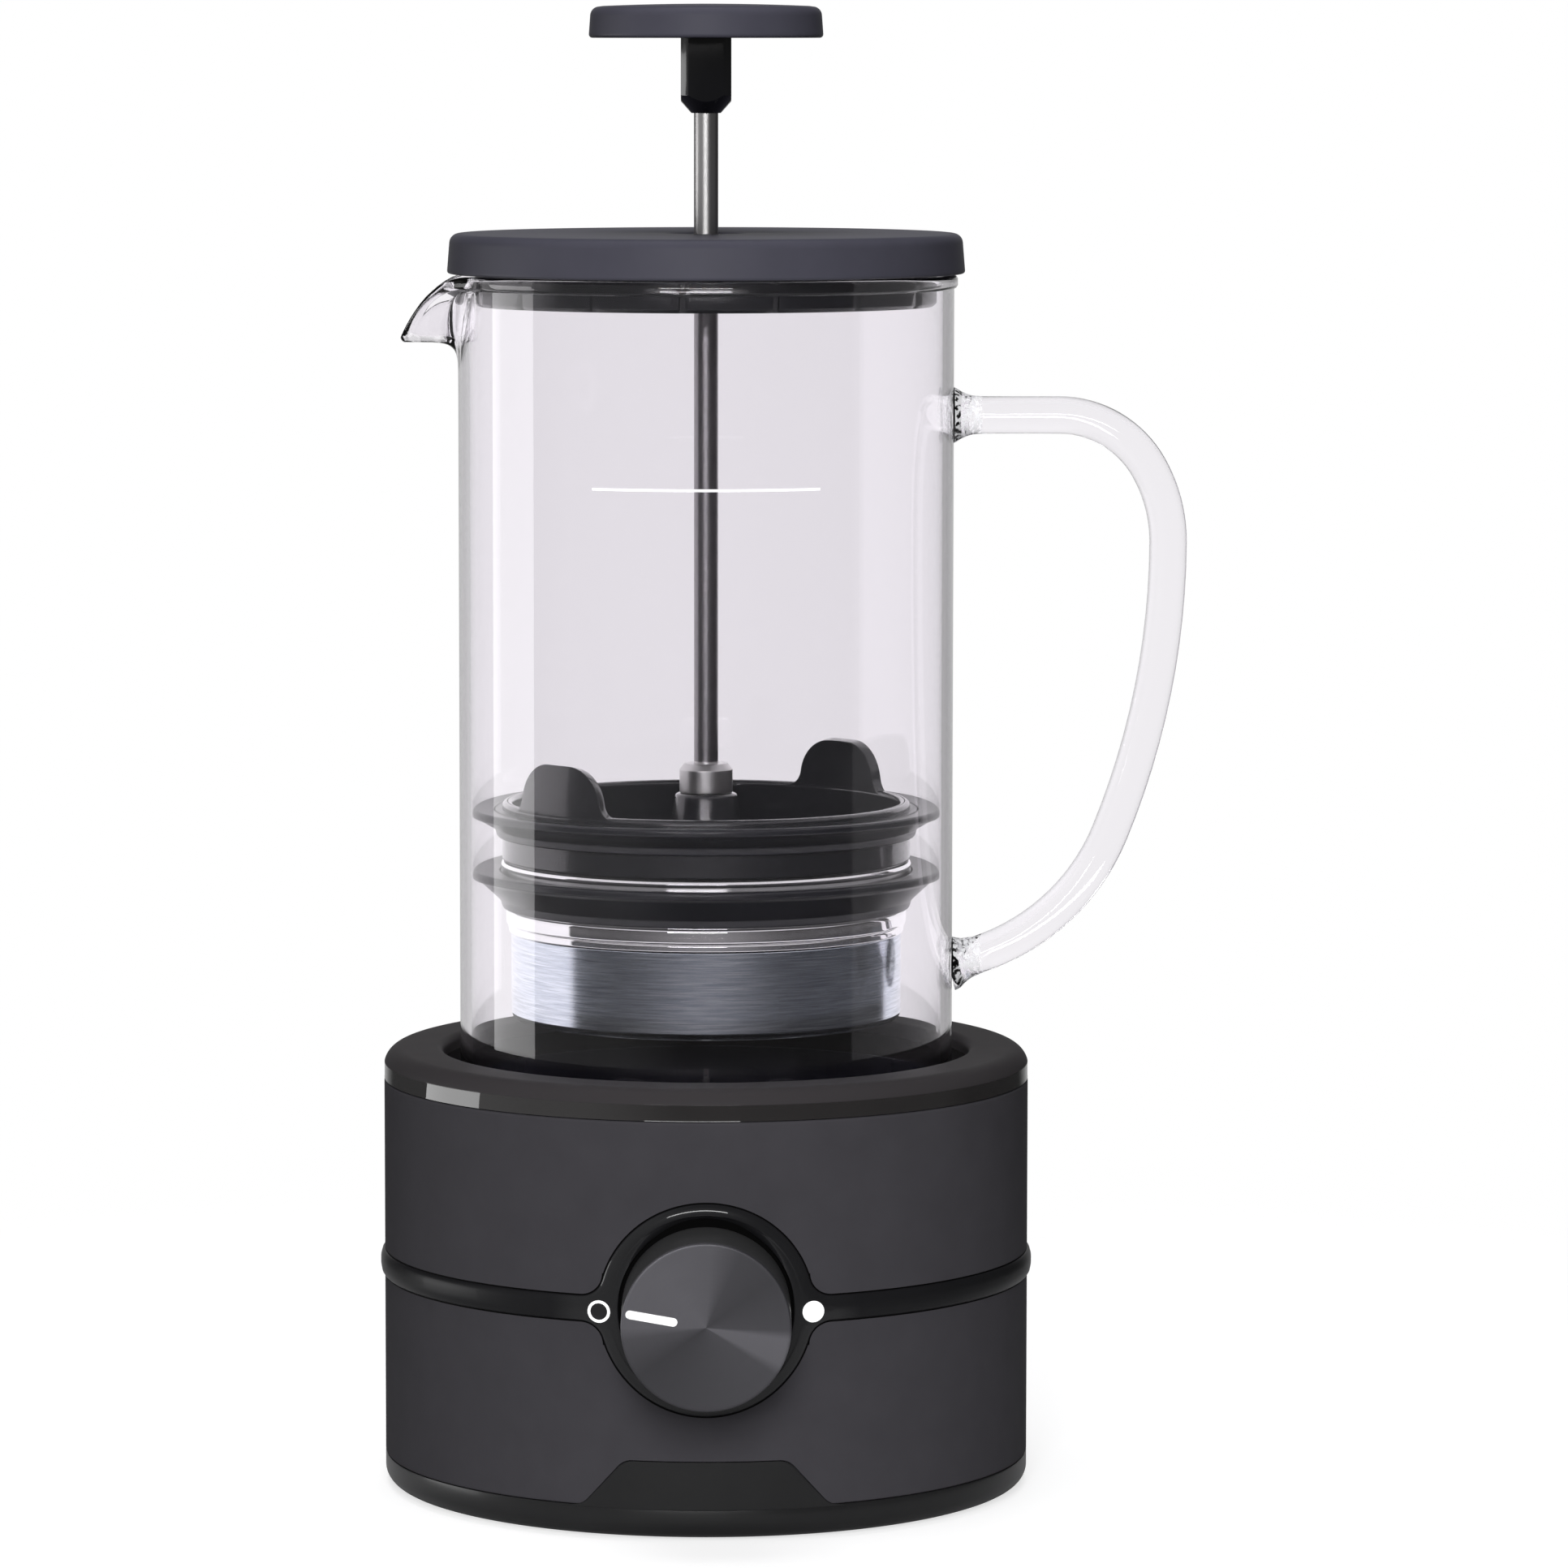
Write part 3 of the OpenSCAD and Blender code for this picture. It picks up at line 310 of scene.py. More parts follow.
def ring_scratches(finish, pitch, reach):
    """Noise drawn out round the Z axis: pitch apart along it, reach long round it, in mm."""
    x, y, z = finish.xyz()
    turn = finish.math("ARCTAN2", y, x)
    vector = finish.node("ShaderNodeCombineXYZ", values={0: turn * (40 / reach), 1: z / pitch})
    return finish.node("ShaderNodeTexNoise", values={"Vector": vector, "Scale": 1.0,
                                                     "Detail": 3.0, "Roughness": 0.6})


def brushed(slot, colour, roughness, pitch, depth):
    """A metal with fine scratches round the Z axis, pitch apart and depth deep, in mm."""
    finish = Finish(slot, colour, roughness, Metallic=1.0)
    scratches = ring_scratches(finish, pitch, SCRATCH_REACH)
    dark = tuple(c * 0.82 for c in colour)
    finish.set("Base Color", finish.mix(scratches, dark, colour))
    finish.set("Roughness", roughness - 0.06 + 0.12 * scratches)
    finish.set("Normal", finish.bump(scratches, depth))
    return keep(slot, finish)


rod_steel = brushed("rod_steel", (0.62, 0.61, 0.61), 0.34, 0.12, 0.004)
brushed("zinc", (0.60, 0.60, 0.58), 0.38, 0.40, 0.004)
brushed("magnet", (0.45, 0.46, 0.48), 0.30, 0.50, 0.002)
brushed("mesh_steel", (0.55, 0.55, 0.56), 0.32, 0.60, 0.001)

# %% [markdown]
# Within the jar the rod carries painted shade: its colour turns a darker grey below the lid, in
# place of the lid's shadow and the dark lid mirrored in it. The change is soft and lies at the
# lid's height, so that it is hidden while the plunger stands as in the photograph. The basket's
# swelled shoulder is polished bright and its wall below keeps the brushing, with broad scratches
# among the fine ones: again a mask on the height says which.

# %% Rod and basket steel
COLLAR_END, LID_LEVEL, TONE_FADE = 160.0, 276.0, 16.0
height = rod_steel.xyz()[2]
below_lid = ((LID_LEVEL - height) / TONE_FADE).clamped()
# Painted shade: inside the jar, below the lid, the rod's colour goes a darker grey.
in_shade = rod_steel.math("GREATER_THAN", height, COLLAR_END) * below_lid
recolour(rod_steel, in_shade, (0.24, 0.23, 0.24))

POLISH_START = 122.6
basket_steel = Finish("basket_steel", (0.80, 0.81, 0.83), 0.22, Metallic=1.0, Anisotropic=0.6)
polish = ((basket_steel.xyz()[2] - POLISH_START) * 4).clamped()
fine = ring_scratches(basket_steel, 0.12, 16.0)
broad = ring_scratches(basket_steel, 0.55, 9.0)
brush = ((0.6 * fine + 0.4 * broad - 0.5) * 3.0 + 0.5).clamped()
wall_tone = basket_steel.mix(brush, (0.42, 0.46, 0.54), (0.90, 0.95, 1.0))
basket_steel.set("Base Color", basket_steel.mix(polish, wall_tone, (0.93, 0.93, 0.93)))
basket_steel.set("Roughness", (0.10 + 0.08 * brush) * (1 - polish) + 0.04 * polish)
basket_steel.set("Normal", basket_steel.bump(fine * (1 - polish), 0.0012))
keep("basket_steel", basket_steel)

# %% [markdown]
# ## The dial's turned face
#
# A face turned on a lathe carries circular grooves, and a lamp shows on it as fans of light that
# meet in the middle. Here those fans are painted highlights: light and dark tones in the metal's
# colour that depend on the angle round the dial. The grooves are fine rings in the bump, so the
# face also answers to the real lamps.

# %% Turned metal
DIAL_H = 50.0
PAINTED_FAN_STOPS = [(0.0, 0.55), (0.025, 0.30), (0.10, 0.12), (0.28, 0.22), (0.405, 0.28), (0.425, 0.62),
        (0.478, 0.66), (0.495, 0.26), (0.60, 0.16), (0.68, 0.22), (0.74, 0.50), (0.86, 0.58),
        (1.0, 0.55)]
GROOVES_PER_MM, GROOVE_BREAKS = 6.0, 9.0

turned_metal = Finish("dial_metal", (0.10, 0.10, 0.11), 0.38, Metallic=0.75)
across, _, up = turned_metal.xyz()
up = up - DIAL_H
ray = turned_metal.math("ARCTAN2", up, across) / (2 * pi) + 0.5
# Painted highlight: the fans are lighter and darker tones in the colour, set by the angle round the
# dial.
painted_fans = turned_metal.node("ShaderNodeValToRGB", {"stops": PAINTED_FAN_STOPS}, {0: ray})
from_middle = turned_metal.math("SQRT", across * across + up * up)
ring_vector = turned_metal.node("ShaderNodeCombineXYZ", values={
    0: from_middle * GROOVES_PER_MM, 1: ray * GROOVE_BREAKS})
grooves = turned_metal.node("ShaderNodeTexNoise", values={"Vector": ring_vector, "Scale": 1.0,
                                                          "Detail": 2.0})
painted_fan_tone = turned_metal.math("MULTIPLY", painted_fans, 0.92 + 0.16 * grooves)
turned_metal.set("Base Color", turned_metal.mix(painted_fan_tone, (0.043, 0.042, 0.047),
                                                (0.25, 0.245, 0.27)))
turned_metal.set("Roughness", 0.32 + 0.16 * grooves)
turned_metal.set("Normal", turned_metal.bump(grooves, 0.003))
keep("dial_metal", turned_metal)

# %% [markdown]
# ## Clear glass
#
# Borosilicate glass bends light at 1.47 and hardly tints it, except where one looks along the
# wall: there the rays pass through much more of it. Layer Weight finds those places. Lamps
# shine through a thin wall almost unhindered, and a Mix Shader that turns clear for shadow rays
# says so, because a path tracer would otherwise leave what is inside in the dark. Where the
# handle was welded on, small bubbles in the glass scatter the light.

# %% Glass
WELD_X, WELD_REACH, WELDS_END = 57.3, 3.0, 245.0
BUBBLE, HAZE_FROM, HAZE_MOST = 0.9, 0.44, 0.75

glass = Finish("glass", (0.93, 0.91, 0.94), 0.0, Transmission_Weight=1.0, IOR=1.47)
edge = glass.node("ShaderNodeLayerWeight", values={"Blend": 0.25}, out=1)
glass.set("Base Color", glass.mix(edge ** 3, (0.925, 0.905, 0.935), (0.84, 0.86, 0.87)))

gx, _, gz = glass.xyz()
at_weld = glass.math("LESS_THAN", glass.math("ABSOLUTE", gx - WELD_X), WELD_REACH)
at_weld = at_weld * glass.math("LESS_THAN", gz, WELDS_END)
bubbles = glass.noise(BUBBLE, detail=2.0)
weld_haze = at_weld * ((bubbles - HAZE_FROM) * 9.0).clamped() * HAZE_MOST
haze = glass.node("ShaderNodeBsdfDiffuse", values={0: rgba((0.86, 0.86, 0.88))})
body = glass.shader_mix(weld_haze, Wire(glass, glass.surface.outputs[0]), haze)

clear = glass.node("ShaderNodeBsdfTransparent", values={0: rgba((0.93, 0.935, 0.94))})
shadow_ray = glass.node("ShaderNodeLightPath", out=1)
glass.show(glass.shader_mix(shadow_ray, body, clear))
keep("glass", glass)

# %% [markdown]
# ## Outlines, turned shapes and finished pieces
#
# Most of this object is turned: a section carried round an axis. A section is written as its
# corners, each with the radius it is rounded to. A sharp edge never catches light, so every edge
# that shows gets a radius, and a point is held just beyond each rounding so that the shading of
# a flat face stays flat.

# %% Outlines


def rounded(corners, steps=4, hold=0.3):
    """A closed outline from corners (x, y, radius), each rounded by steps."""
    points = []
    count = len(corners)
    for i, (x, y, *r) in enumerate(corners):
        r = r[0] if r else 0.0
        before, after = corners[i - 1], corners[(i + 1) % count]
        a, b = Vector((before[0] - x, before[1] - y)), Vector((after[0] - x, after[1] - y))
        if r <= 0:
            points.append((x, y))
            continue
        la, lb = a.length, b.length
        a, b = a / la, b / lb
        half = a.angle(b) / 2
        back = min(r / tan(half), 0.48 * la, 0.48 * lb)
        r = back * tan(half)
        middle = Vector((x, y)) + (a + b).normalized() * (r / sin(half))
        start, end = Vector((x, y)) + a * back, Vector((x, y)) + b * back
        a0 = atan2(start.y - middle.y, start.x - middle.x)
        turn = (atan2(end.y - middle.y, end.x - middle.x) - a0 + pi) % (2 * pi) - pi
        if hold and la - back > 2.2 * hold:
            points.append(tuple(start + a * hold))
        for k in range(steps + 1):
            t = a0 + turn * k / steps
            points.append((middle.x + r * cos(t), middle.y + r * sin(t)))
        if hold and lb - back > 2.2 * hold:
            points.append(tuple(end + b * hold))
    return points


def arc_points(x, y, r, start, end, steps):
    """Points on an arc, with its angles in degrees."""
    turns = [radians(start + (end - start) * k / steps) for k in range(steps + 1)]
    return [(x + r * cos(t), y + r * sin(t)) for t in turns]


def twice_area(outline):
    """Twice the outline's area, which is negative where it runs clockwise."""
    return sum(a[0] * b[1] - b[0] * a[1] for a, b in zip(outline, outline[1:] + outline[:1]))


# %% [markdown]
# An outline becomes a mesh in one of two ways. It is carried round an axis, where a point on the
# axis is a single pole and not a ring, or it is pushed straight back as a prism, which cuts
# holes. Either way its faces have to point outwards, so the sign of its area is looked at first.

# %% Turned shapes and prisms
ON_AXIS = 1e-6


def new_object(name, points, faces, crease=32):
    """A mesh object from points in millimetres, smooth except across angles over crease."""
    mesh = bpy.data.meshes.new(name)
    mesh.from_pydata([(x * MM, y * MM, z * MM) for x, y, z in points], [], faces)
    mesh.validate()
    mesh.shade_smooth()
    mesh.set_sharp_from_angle(angle=radians(crease))
    made = bpy.data.objects.new(name, mesh)
    bpy.context.scene.collection.objects.link(made)
    return made


def turned(name, outline, slices=160, crease=32, dial=False):
    """Carries a closed outline of (radius, height) round the Z axis, or round the dial's axis,
    where the height is the distance to the front."""
    if twice_area(outline) < 0:
        outline = outline[::-1]
    points, rings = [], []
    for r, h in outline:
        rings.append(len(points))
        turns = [0.0] if r < ON_AXIS else [2 * pi * i / slices for i in range(slices)]
        for t in turns:
            if dial:
                points.append((r * cos(t), -h, DIAL_H + r * sin(t)))
            else:
                points.append((r * cos(t), r * sin(t), h))
    faces = []
    for k, (r, h) in enumerate(outline):
        m = (k + 1) % len(outline)
        low, high = rings[k], rings[m]
        pole_low, pole_high = r < ON_AXIS, outline[m][0] < ON_AXIS
        for i in range(slices if not (pole_low and pole_high) else 0):
            j = (i + 1) % slices
            if pole_low:
                faces.append((low, high + j, high + i))
            elif pole_high:
                faces.append((low + i, low + j, high))
            else:
                faces.append((low + i, low + j, high + j, high + i))
    return new_object(name, points, faces, crease)


def finished(piece, slot, body, *nodes, finish=None):
    """Gives a piece its finish, lets it ride on its body and stands it in for CAD nodes."""
    piece.data.materials.clear()
    piece.data.materials.append(finishes[finish or slot])
    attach(piece, body)
    if nodes:
        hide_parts(*nodes)
    print(f"{piece.name}: {len(piece.data.polygons)} faces on {body}")
    return piece


def plain_mesh(piece):
    """Turns a piece with modifiers into the mesh that they make."""
    graph = bpy.context.evaluated_depsgraph_get()
    mesh = bpy.data.meshes.new_from_object(piece.evaluated_get(graph))
    piece.modifiers.clear()
    piece.data = mesh
    return piece


def combined(piece, tool, operation):
    """Cuts a tool out of a piece, or joins it on, and throws the tool away."""
    modifier = piece.modifiers.new(operation, "BOOLEAN")
    modifier.operation, modifier.solver, modifier.object = operation, "EXACT", tool
    plain_mesh(piece)
    bpy.data.objects.remove(tool)
    piece.data.set_sharp_from_angle(angle=radians(32))
    return piece


def prism(name, outline, y_near, y_far):
    """An outline drawn as the front view (x, z), between two distances behind the front."""
    count = len(outline)
    points = [(x, y, z) for y in (y_near, y_far) for x, z in outline]
    faces = [(i, (i + 1) % count, count + (i + 1) % count, count + i) for i in range(count)]
    faces += [tuple(range(count))[::-1], tuple(range(count, 2 * count))]
    made = new_object(name, points, faces)
    if twice_area(outline) < 0:
        made.data.flip_normals()
    return made


# %% [markdown]
# ## CAD pieces that only need a finer skin
#
# Pieces with many cuts, such as the plug with its slots, are already right as solids. A copy is
# merged into one skin, its flat faces are joined up, and a narrow bevel breaks its edges.

# %% Dressed copies


def dressed(node, slot, bevel=0.0, crease=32):
    """A copy of a CAD node as one smooth skin with its edges broken by a bevel."""
    source = frame["nodes"][node]
    piece = bpy.data.objects.new(node + "_dressed", source.data.copy())
    bpy.context.scene.collection.objects.link(piece)
    weld = piece.modifiers.new("weld", "WELD")
    weld.merge_threshold = 0.002 * MM
    if bevel:
        flat = piece.modifiers.new("flat", "DECIMATE")
        flat.decimate_type, flat.angle_limit = "DISSOLVE", radians(0.3)
        edge_round = piece.modifiers.new("edges", "BEVEL")
        edge_round.width, edge_round.segments = bevel * MM, 2
        edge_round.limit_method, edge_round.angle_limit = "ANGLE", radians(crease)
    plain_mesh(piece)
    piece.data.shade_smooth()
    piece.data.set_sharp_from_angle(angle=radians(crease))
    return finished(piece, slot, body_of_node[node], node)


# %% [markdown]
# ## The housing
#
# Two mouldings meet behind the trim band. Each is a plain turned wall, rounded where it shows,
# with the dial's hole cut through both and the recess for the foot ring's tab cut into the lower
# one. The top ring is a separate, glossier moulding that turns in to the carafe's well.

# %% Housing sizes
BASE_R, BASE_H, SEAM_H, WALL = 71.0, 97.0, 90.2, 2.6
BAND_LO, BAND_HI, BAND_PROUD = 47.0, 52.4, 0.9
BAND_MID = (BAND_LO + BAND_HI) / 2
BAND_R = BASE_R + BAND_PROUD
RING_H, TAB_TOP, TAB_FLOOR_R = 7.3, 17.5, 69.8
TAB_TOP_HALF, TAB_FOOT_HALF, TAB_ROUND = 39.5 / 2, 54.6 / 2, 4
CUP_OUT_R, CUP_GAP = 20.5, 0.15
GLAND_R, GLAND_H = 5.0, 18.0
WELL_R, GUIDE_R, WELL_FLOOR = 57.9, 55.0, 62.0


def hole_tool(radius, near, far, height, slices=96):
    """A round cutter along the front-to-back direction."""
    circle = arc_points(0, height, radius, 0, 360 - 360 / slices, slices - 1)
    return prism("hole", circle, near, far)


def dial_hole():
    return hole_tool(CUP_OUT_R + CUP_GAP, -80, -20, DIAL_H)


def tab_side(gap, low):
    """The right side of the tab's outline from the bottom up, with its hollow foot."""
    half_top, half_foot, top = TAB_TOP_HALF - gap, TAB_FOOT_HALF - gap, TAB_TOP - gap
    foot = arc_points(half_foot + 1, RING_H + TAB_ROUND, TAB_ROUND, 270, 222, 6)
    head = arc_points(half_top - TAB_ROUND, top - TAB_ROUND, TAB_ROUND, 40, 90, 6)
    return [(half_foot + 3, low), (half_foot + 3, RING_H)] + foot + head

# %% Housing pieces
upper = turned("housing_upper", rounded([
    (BASE_R - WALL, BAND_MID), (BASE_R, BAND_MID), (BASE_R, SEAM_H - 0.05, 0.45),
    (BASE_R - WALL, SEAM_H - 0.05)]), slices=240)
combined(upper, dial_hole(), "DIFFERENCE")
finished(upper, "housing", "base", "upper_shell")

lower = turned("housing_lower", rounded([
    (BASE_R - WALL, RING_H + 0.05), (BASE_R, RING_H + 0.05, 0.3), (BASE_R, BAND_MID),
    (BASE_R - WALL, BAND_MID)]), slices=240)
combined(lower, dial_hole(), "DIFFERENCE")
side = tab_side(0.0, RING_H - 1)
recess = prism("recess", side + [(-x, z) for x, z in side[::-1]], -80, -40)
core = turned("core", [(0, RING_H - 3), (TAB_FLOOR_R, RING_H - 3), (TAB_FLOOR_R, TAB_TOP + 3),
                       (0, TAB_TOP + 3)], slices=240)
combined(recess, core, "DIFFERENCE")
combined(lower, recess, "DIFFERENCE")
combined(lower, hole_tool(GLAND_R, 60, 80, GLAND_H, 48), "DIFFERENCE")
finished(lower, "housing", "base", "lower_shell")

# %% [markdown]
# The top ring's section shows all its parts: a wide rounding outside, a nearly flat top and a
# tight rounding into the well. The wide rounding is drawn as two arcs with a plain chord between
# them. The chord is the polished strip that mirrors the lamps, and the small slanted edge under
# it draws the bright line along the seam. The well below is one deep polished cup with a
# narrower foot that centres the carafe.

# %% Top ring and well
ROUND_X, ROUND_Z, ROUND_R = BASE_R - 4.125, BASE_H - 4.2, 4.2
ring_side = arc_points(ROUND_X, ROUND_Z, ROUND_R, 14, 14.6, 1)
ring_side += arc_points(ROUND_X, ROUND_Z, ROUND_R, 19, 90, 12)
ring_corners = [
    (WELL_R, BASE_H, 1.6), (WELL_R, 89.0), (WELL_R + WALL, 89.0), (WELL_R + WALL, BASE_H - WALL),
    (BASE_R - 4.2, BASE_H - WALL), (BASE_R - WALL, SEAM_H + 0.05), (BASE_R - 0.25, SEAM_H + 0.05),
    (BASE_R, SEAM_H + 0.16), (BASE_R - 0.05, SEAM_H + 0.45),
    (BASE_R - 0.05, ring_side[0][1] - 0.05)]
finished(turned("top_ring_gloss", rounded(ring_corners + ring_side, steps=8), slices=240),
         "gloss_ring", "base", "top_ring")

cup_corners = [
    (0, WELL_FLOOR - WALL), (GUIDE_R + WALL, WELL_FLOOR - WALL), (GUIDE_R + WALL, 74.0),
    (WELL_R + WALL, 80.0), (WELL_R + WALL, 89.0), (WELL_R, 89.0, 0.3), (WELL_R, 80.0, 3.0),
    (GUIDE_R, 74.0, 3.0), (GUIDE_R, WELL_FLOOR, 2.0), (0, WELL_FLOOR)]
finished(turned("well_cup_polished", rounded(cup_corners, steps=6), slices=200),
         "well_black", "base", "well_cup")
pad_corners = [(32.2, 62.0), (44.2, 62.0), (44.2, 63.2, 0.5), (32.2, 63.2, 0.5)]
finished(turned("well_pad_soft", rounded(pad_corners), slices=160), "silicone", "base", "well_pad")

# %% [markdown]
# The foot ring is rounded under, so that the base seems to float a little. A tab stands up from
# its front into the housing's recess. The tab is a sheet: rows of points are bent round the
# housing, Solidify gives them thickness and Bevel rounds the edges.

# %% Foot ring and its tab
foot_outline = ([(64.0, 0.72)] + arc_points(67.6, 4.0, 3.4, -75, 0, 8)
                + [(BASE_R, RING_H - 0.4), (BASE_R - 0.1, RING_H - 0.12),
                   (BASE_R - 0.35, RING_H - 0.03), (BASE_R - WALL, RING_H - 0.03),
                   (BASE_R - WALL, 4.4), (64.0, 4.4)])
finished(turned("foot_ring_satin", foot_outline, slices=240), "foot_black", "base", "foot_ring")
TAB_GAP, TAB_PROUD, TAB_THICK = 0.18, 0.1, 1.1


def curved_tab(columns=48):
    """The tab on the foot ring, as rows of points across it, bent round the housing."""
    rows = tab_side(TAB_GAP, RING_H - 0.4)[1:]
    rows = [(rows[0][0], RING_H - 0.4)] + rows[1:]
    points, faces = [], []
    radius = BASE_R + TAB_PROUD
    for half, z in rows:
        for i in range(columns + 1):
            turn = asin(half * (2 * i / columns - 1) / BASE_R)
            points.append((radius * sin(turn), -radius * cos(turn), z))
    for k in range(len(rows) - 1):
        for i in range(columns):
            a = k * (columns + 1) + i
            faces.append((a, a + 1, a + columns + 2, a + columns + 1))
    tab = new_object("foot_tab", points, faces)
    thick = tab.modifiers.new("thick", "SOLIDIFY")
    thick.thickness, thick.offset = TAB_THICK * MM, -1.0
    edges = tab.modifiers.new("edges", "BEVEL")
    edges.width, edges.segments = 0.35 * MM, 3
    edges.limit_method, edges.angle_limit = "ANGLE", radians(50)
    plain_mesh(tab)
    tab.data.shade_smooth()
    tab.data.set_sharp_from_angle(angle=radians(40))
    return tab


finished(curved_tab(), "foot_black", "base")

# %% [markdown]
# ## The trim band and the dial's bezel
#
# The trim is one glossy moulding. A narrow band runs round the housing and widens at the front
# into a ring round the dial, through two hollow flares. Its edges are rounded over, and a soft
# dish leads in to the cup that the dial turns in. The outline is known exactly, so it can be
# drawn several times, each a little further in and further out of the housing: those copies,
# bridged, are the rounded edge.

# %% Trim outline
BEZEL_R, FLARE_R, CUP_R = 22.8, 5.0, 18.6
TRIM_ROUND = 2.2
BACK_STEPS = 72


def flare_path(edge, up, inset):
    """From the band's edge round the hollow flare to the top of the bezel, as (x, z)."""
    rise = (edge - DIAL_H) * up + FLARE_R
    out = sqrt((BEZEL_R + FLARE_R) ** 2 - rise ** 2)
    turn = degrees(atan2(rise, out))
    hollow = arc_points(out, rise, FLARE_R + inset, 270, turn + 180, 8)
    crest = arc_points(0, 0, BEZEL_R - inset, turn, 90, 22)
    return [(x, DIAL_H + up * z) for x, z in hollow + crest[1:]]


def trim_edge(up, inset):
    """The whole upper or lower edge as (turn, height): over the bezel, then round the back."""
    edge = BAND_HI if up > 0 else BAND_LO
    right = flare_path(edge, up, inset)
    front = right + [(-x, z) for x, z in right[-2::-1]]
    front = [(asin(x / BASE_R), z) for x, z in front]
    start = front[-1][0]
    sweep = 2 * pi - 2 * abs(start)
    back = [(start - sweep * k / BACK_STEPS, edge - up * inset) for k in range(1, BACK_STEPS)]
    return front, back


def on_cylinder(turn, z, r):
    return (r * sin(turn), -r * cos(turn), z)


class Skin:
    """Collects points and the faces between rows of them."""

    def __init__(self):
        self.points, self.faces = [], []

    def row(self, points):
        first = len(self.points)
        self.points += points
        return list(range(first, len(self.points)))

    def bridge(self, low, high, closed=False):
        span = len(low) if closed else len(low) - 1
        for i in range(span):
            j = (i + 1) % len(low)
            face = [low[i], low[j], high[j], high[i]]
            face = [v for k, v in enumerate(face) if v not in face[:k]]
            if len(face) > 2:
                self.faces.append(tuple(face))


# %% [markdown]
# The rows below run from the buried foot of the trim, over its rounded edge, across its face and
# down the dish into the cup, then back along the inside. Upper and lower rows match point by
# point, so every gap between them closes with four-sided faces.

# %% Edge rows
EDGE_LAYERS = [(0.0, BAND_R - 1.8), (0.0, BASE_R - 0.2)] + [
    (TRIM_ROUND * (1 - cos(radians(t))), BASE_R + BAND_PROUD * sin(radians(t)))
    for t in (8, 20, 35, 50, 65, 78, 90)]
FRONT = 2 * len(flare_path(BAND_HI, 1, 0.0)) - 1

skin = Skin()
edges = {}
for up in (1, -1):
    rows = []
    for inset, r in EDGE_LAYERS:
        front, back = trim_edge(up, inset)
        rows.append(skin.row([on_cylinder(t, z, r) for t, z in front + back]))
    for low, high in zip(rows, rows[1:]):
        skin.bridge(*((low, high) if up > 0 else (high, low)), closed=True)
    edges[up] = rows

# %% [markdown]
# Where two mouldings meet there is a gap about as wide as a hair, dark with the shade inside it. It
# is too fine for the mesh, so that shade is painted: the housing's colour goes nearly black under
# the trim and a hair beyond it. The trim's outline is drawn again for this as a mask: a band, a
# disc and the two hollow flares.

# %% Painted shade in the gap along the trim
HAIR = 0.3


def painted_gap_shade(finish):
    """1 where the painted shade of the gap goes: under the trim or within a hair of it, at the
    front.
    """
    x, y, z = finish.xyz()
    x, up = finish.math("ABSOLUTE", x), z - DIAL_H

    def below(value, limit):
        return finish.math("LESS_THAN", value, limit)

    mask = below(finish.math("ABSOLUTE", z - BAND_MID), (BAND_HI - BAND_LO) / 2 + HAIR)
    disc = below(finish.math("SQRT", x * x + up * up), BEZEL_R + HAIR)
    for edge, side in ((BAND_HI, 1), (BAND_LO, -1)):
        rise = (edge - DIAL_H) * side + FLARE_R
        out = sqrt((BEZEL_R + FLARE_R) ** 2 - rise ** 2)
        dx, dz = x - out, side * up - rise
        near = below(x, out) * below(side * up, rise) * below(-1 * side * up, 0.0)
        from_flare = finish.math("SQRT", dx * dx + dz * dz)
        hollow = finish.math("GREATER_THAN", from_flare, FLARE_R - HAIR)
        disc = finish.math("MAXIMUM", disc, near * hollow)
    return finish.math("MAXIMUM", mask, disc * below(y, 0.0))


# Painted shade: the housing goes nearly black along the hair-wide gap at the trim.
recolour(housing, painted_gap_shade(housing), 0.002)

# %% [markdown]
# Inside the bezel the trim's face sinks into a cone. Where the round wall and the cone cross,
# the smaller of the two depths counts, with a soft minimum in place of a sharp one, so that the
# rim has no crease. Rings of points then run down the dish into the cup.

# %% Dish and cup
DISH_FLOOR, DISH_SLOPE, DISH_SOFT = 69.9, 0.95, 0.35
CUP_FRONT, CUP_BACK, SHAFT_HOLE_R = 66.0, 63.4, 4.55


def dish_depth(rho, theta):
    """How far in front of the axis the trim's face is, on a circle round the dial."""
    wall_y = sqrt(BAND_R ** 2 - (rho * cos(theta)) ** 2)
    cone_y = DISH_FLOOR + (rho - CUP_R) * DISH_SLOPE
    gap = (wall_y - cone_y) / DISH_SOFT
    return (wall_y + cone_y) / 2 - DISH_SOFT * sqrt(gap * gap + 1) / 2


def ring_points(rho, angles, depth=None):
    return [(rho * cos(a), -(depth if depth is not None else dish_depth(rho, a)),
             DIAL_H + rho * sin(a)) for a in angles]


def face_and_cup(up, outline_row, radius, rings):
    """The rows from one edge of the bezel inwards over rings of (rho, depth or None), to be
    bridged.
    """
    start = [skin.points[i] for i in outline_row[:FRONT]]
    angles = [abs(atan2(z - DIAL_H, x)) * up for x, _, z in start]
    angles[0], angles[-1] = 0.0, pi * up
    last = outline_row[:FRONT]
    made = []
    for share in (0.3, 0.65):
        row = []
        for (x, _, z), a in zip(start, angles):
            tx, tz = rings[0][0] * cos(a), DIAL_H + rings[0][0] * sin(a)
            mx, mz = x + (tx - x) * share, z + (tz - z) * share
            row.append(on_cylinder(asin(mx / radius), mz, radius))
        made.append(skin.row(row))
    for rho, depth in rings:
        made.append(skin.row(ring_points(rho, angles, depth)))
    return [last] + made


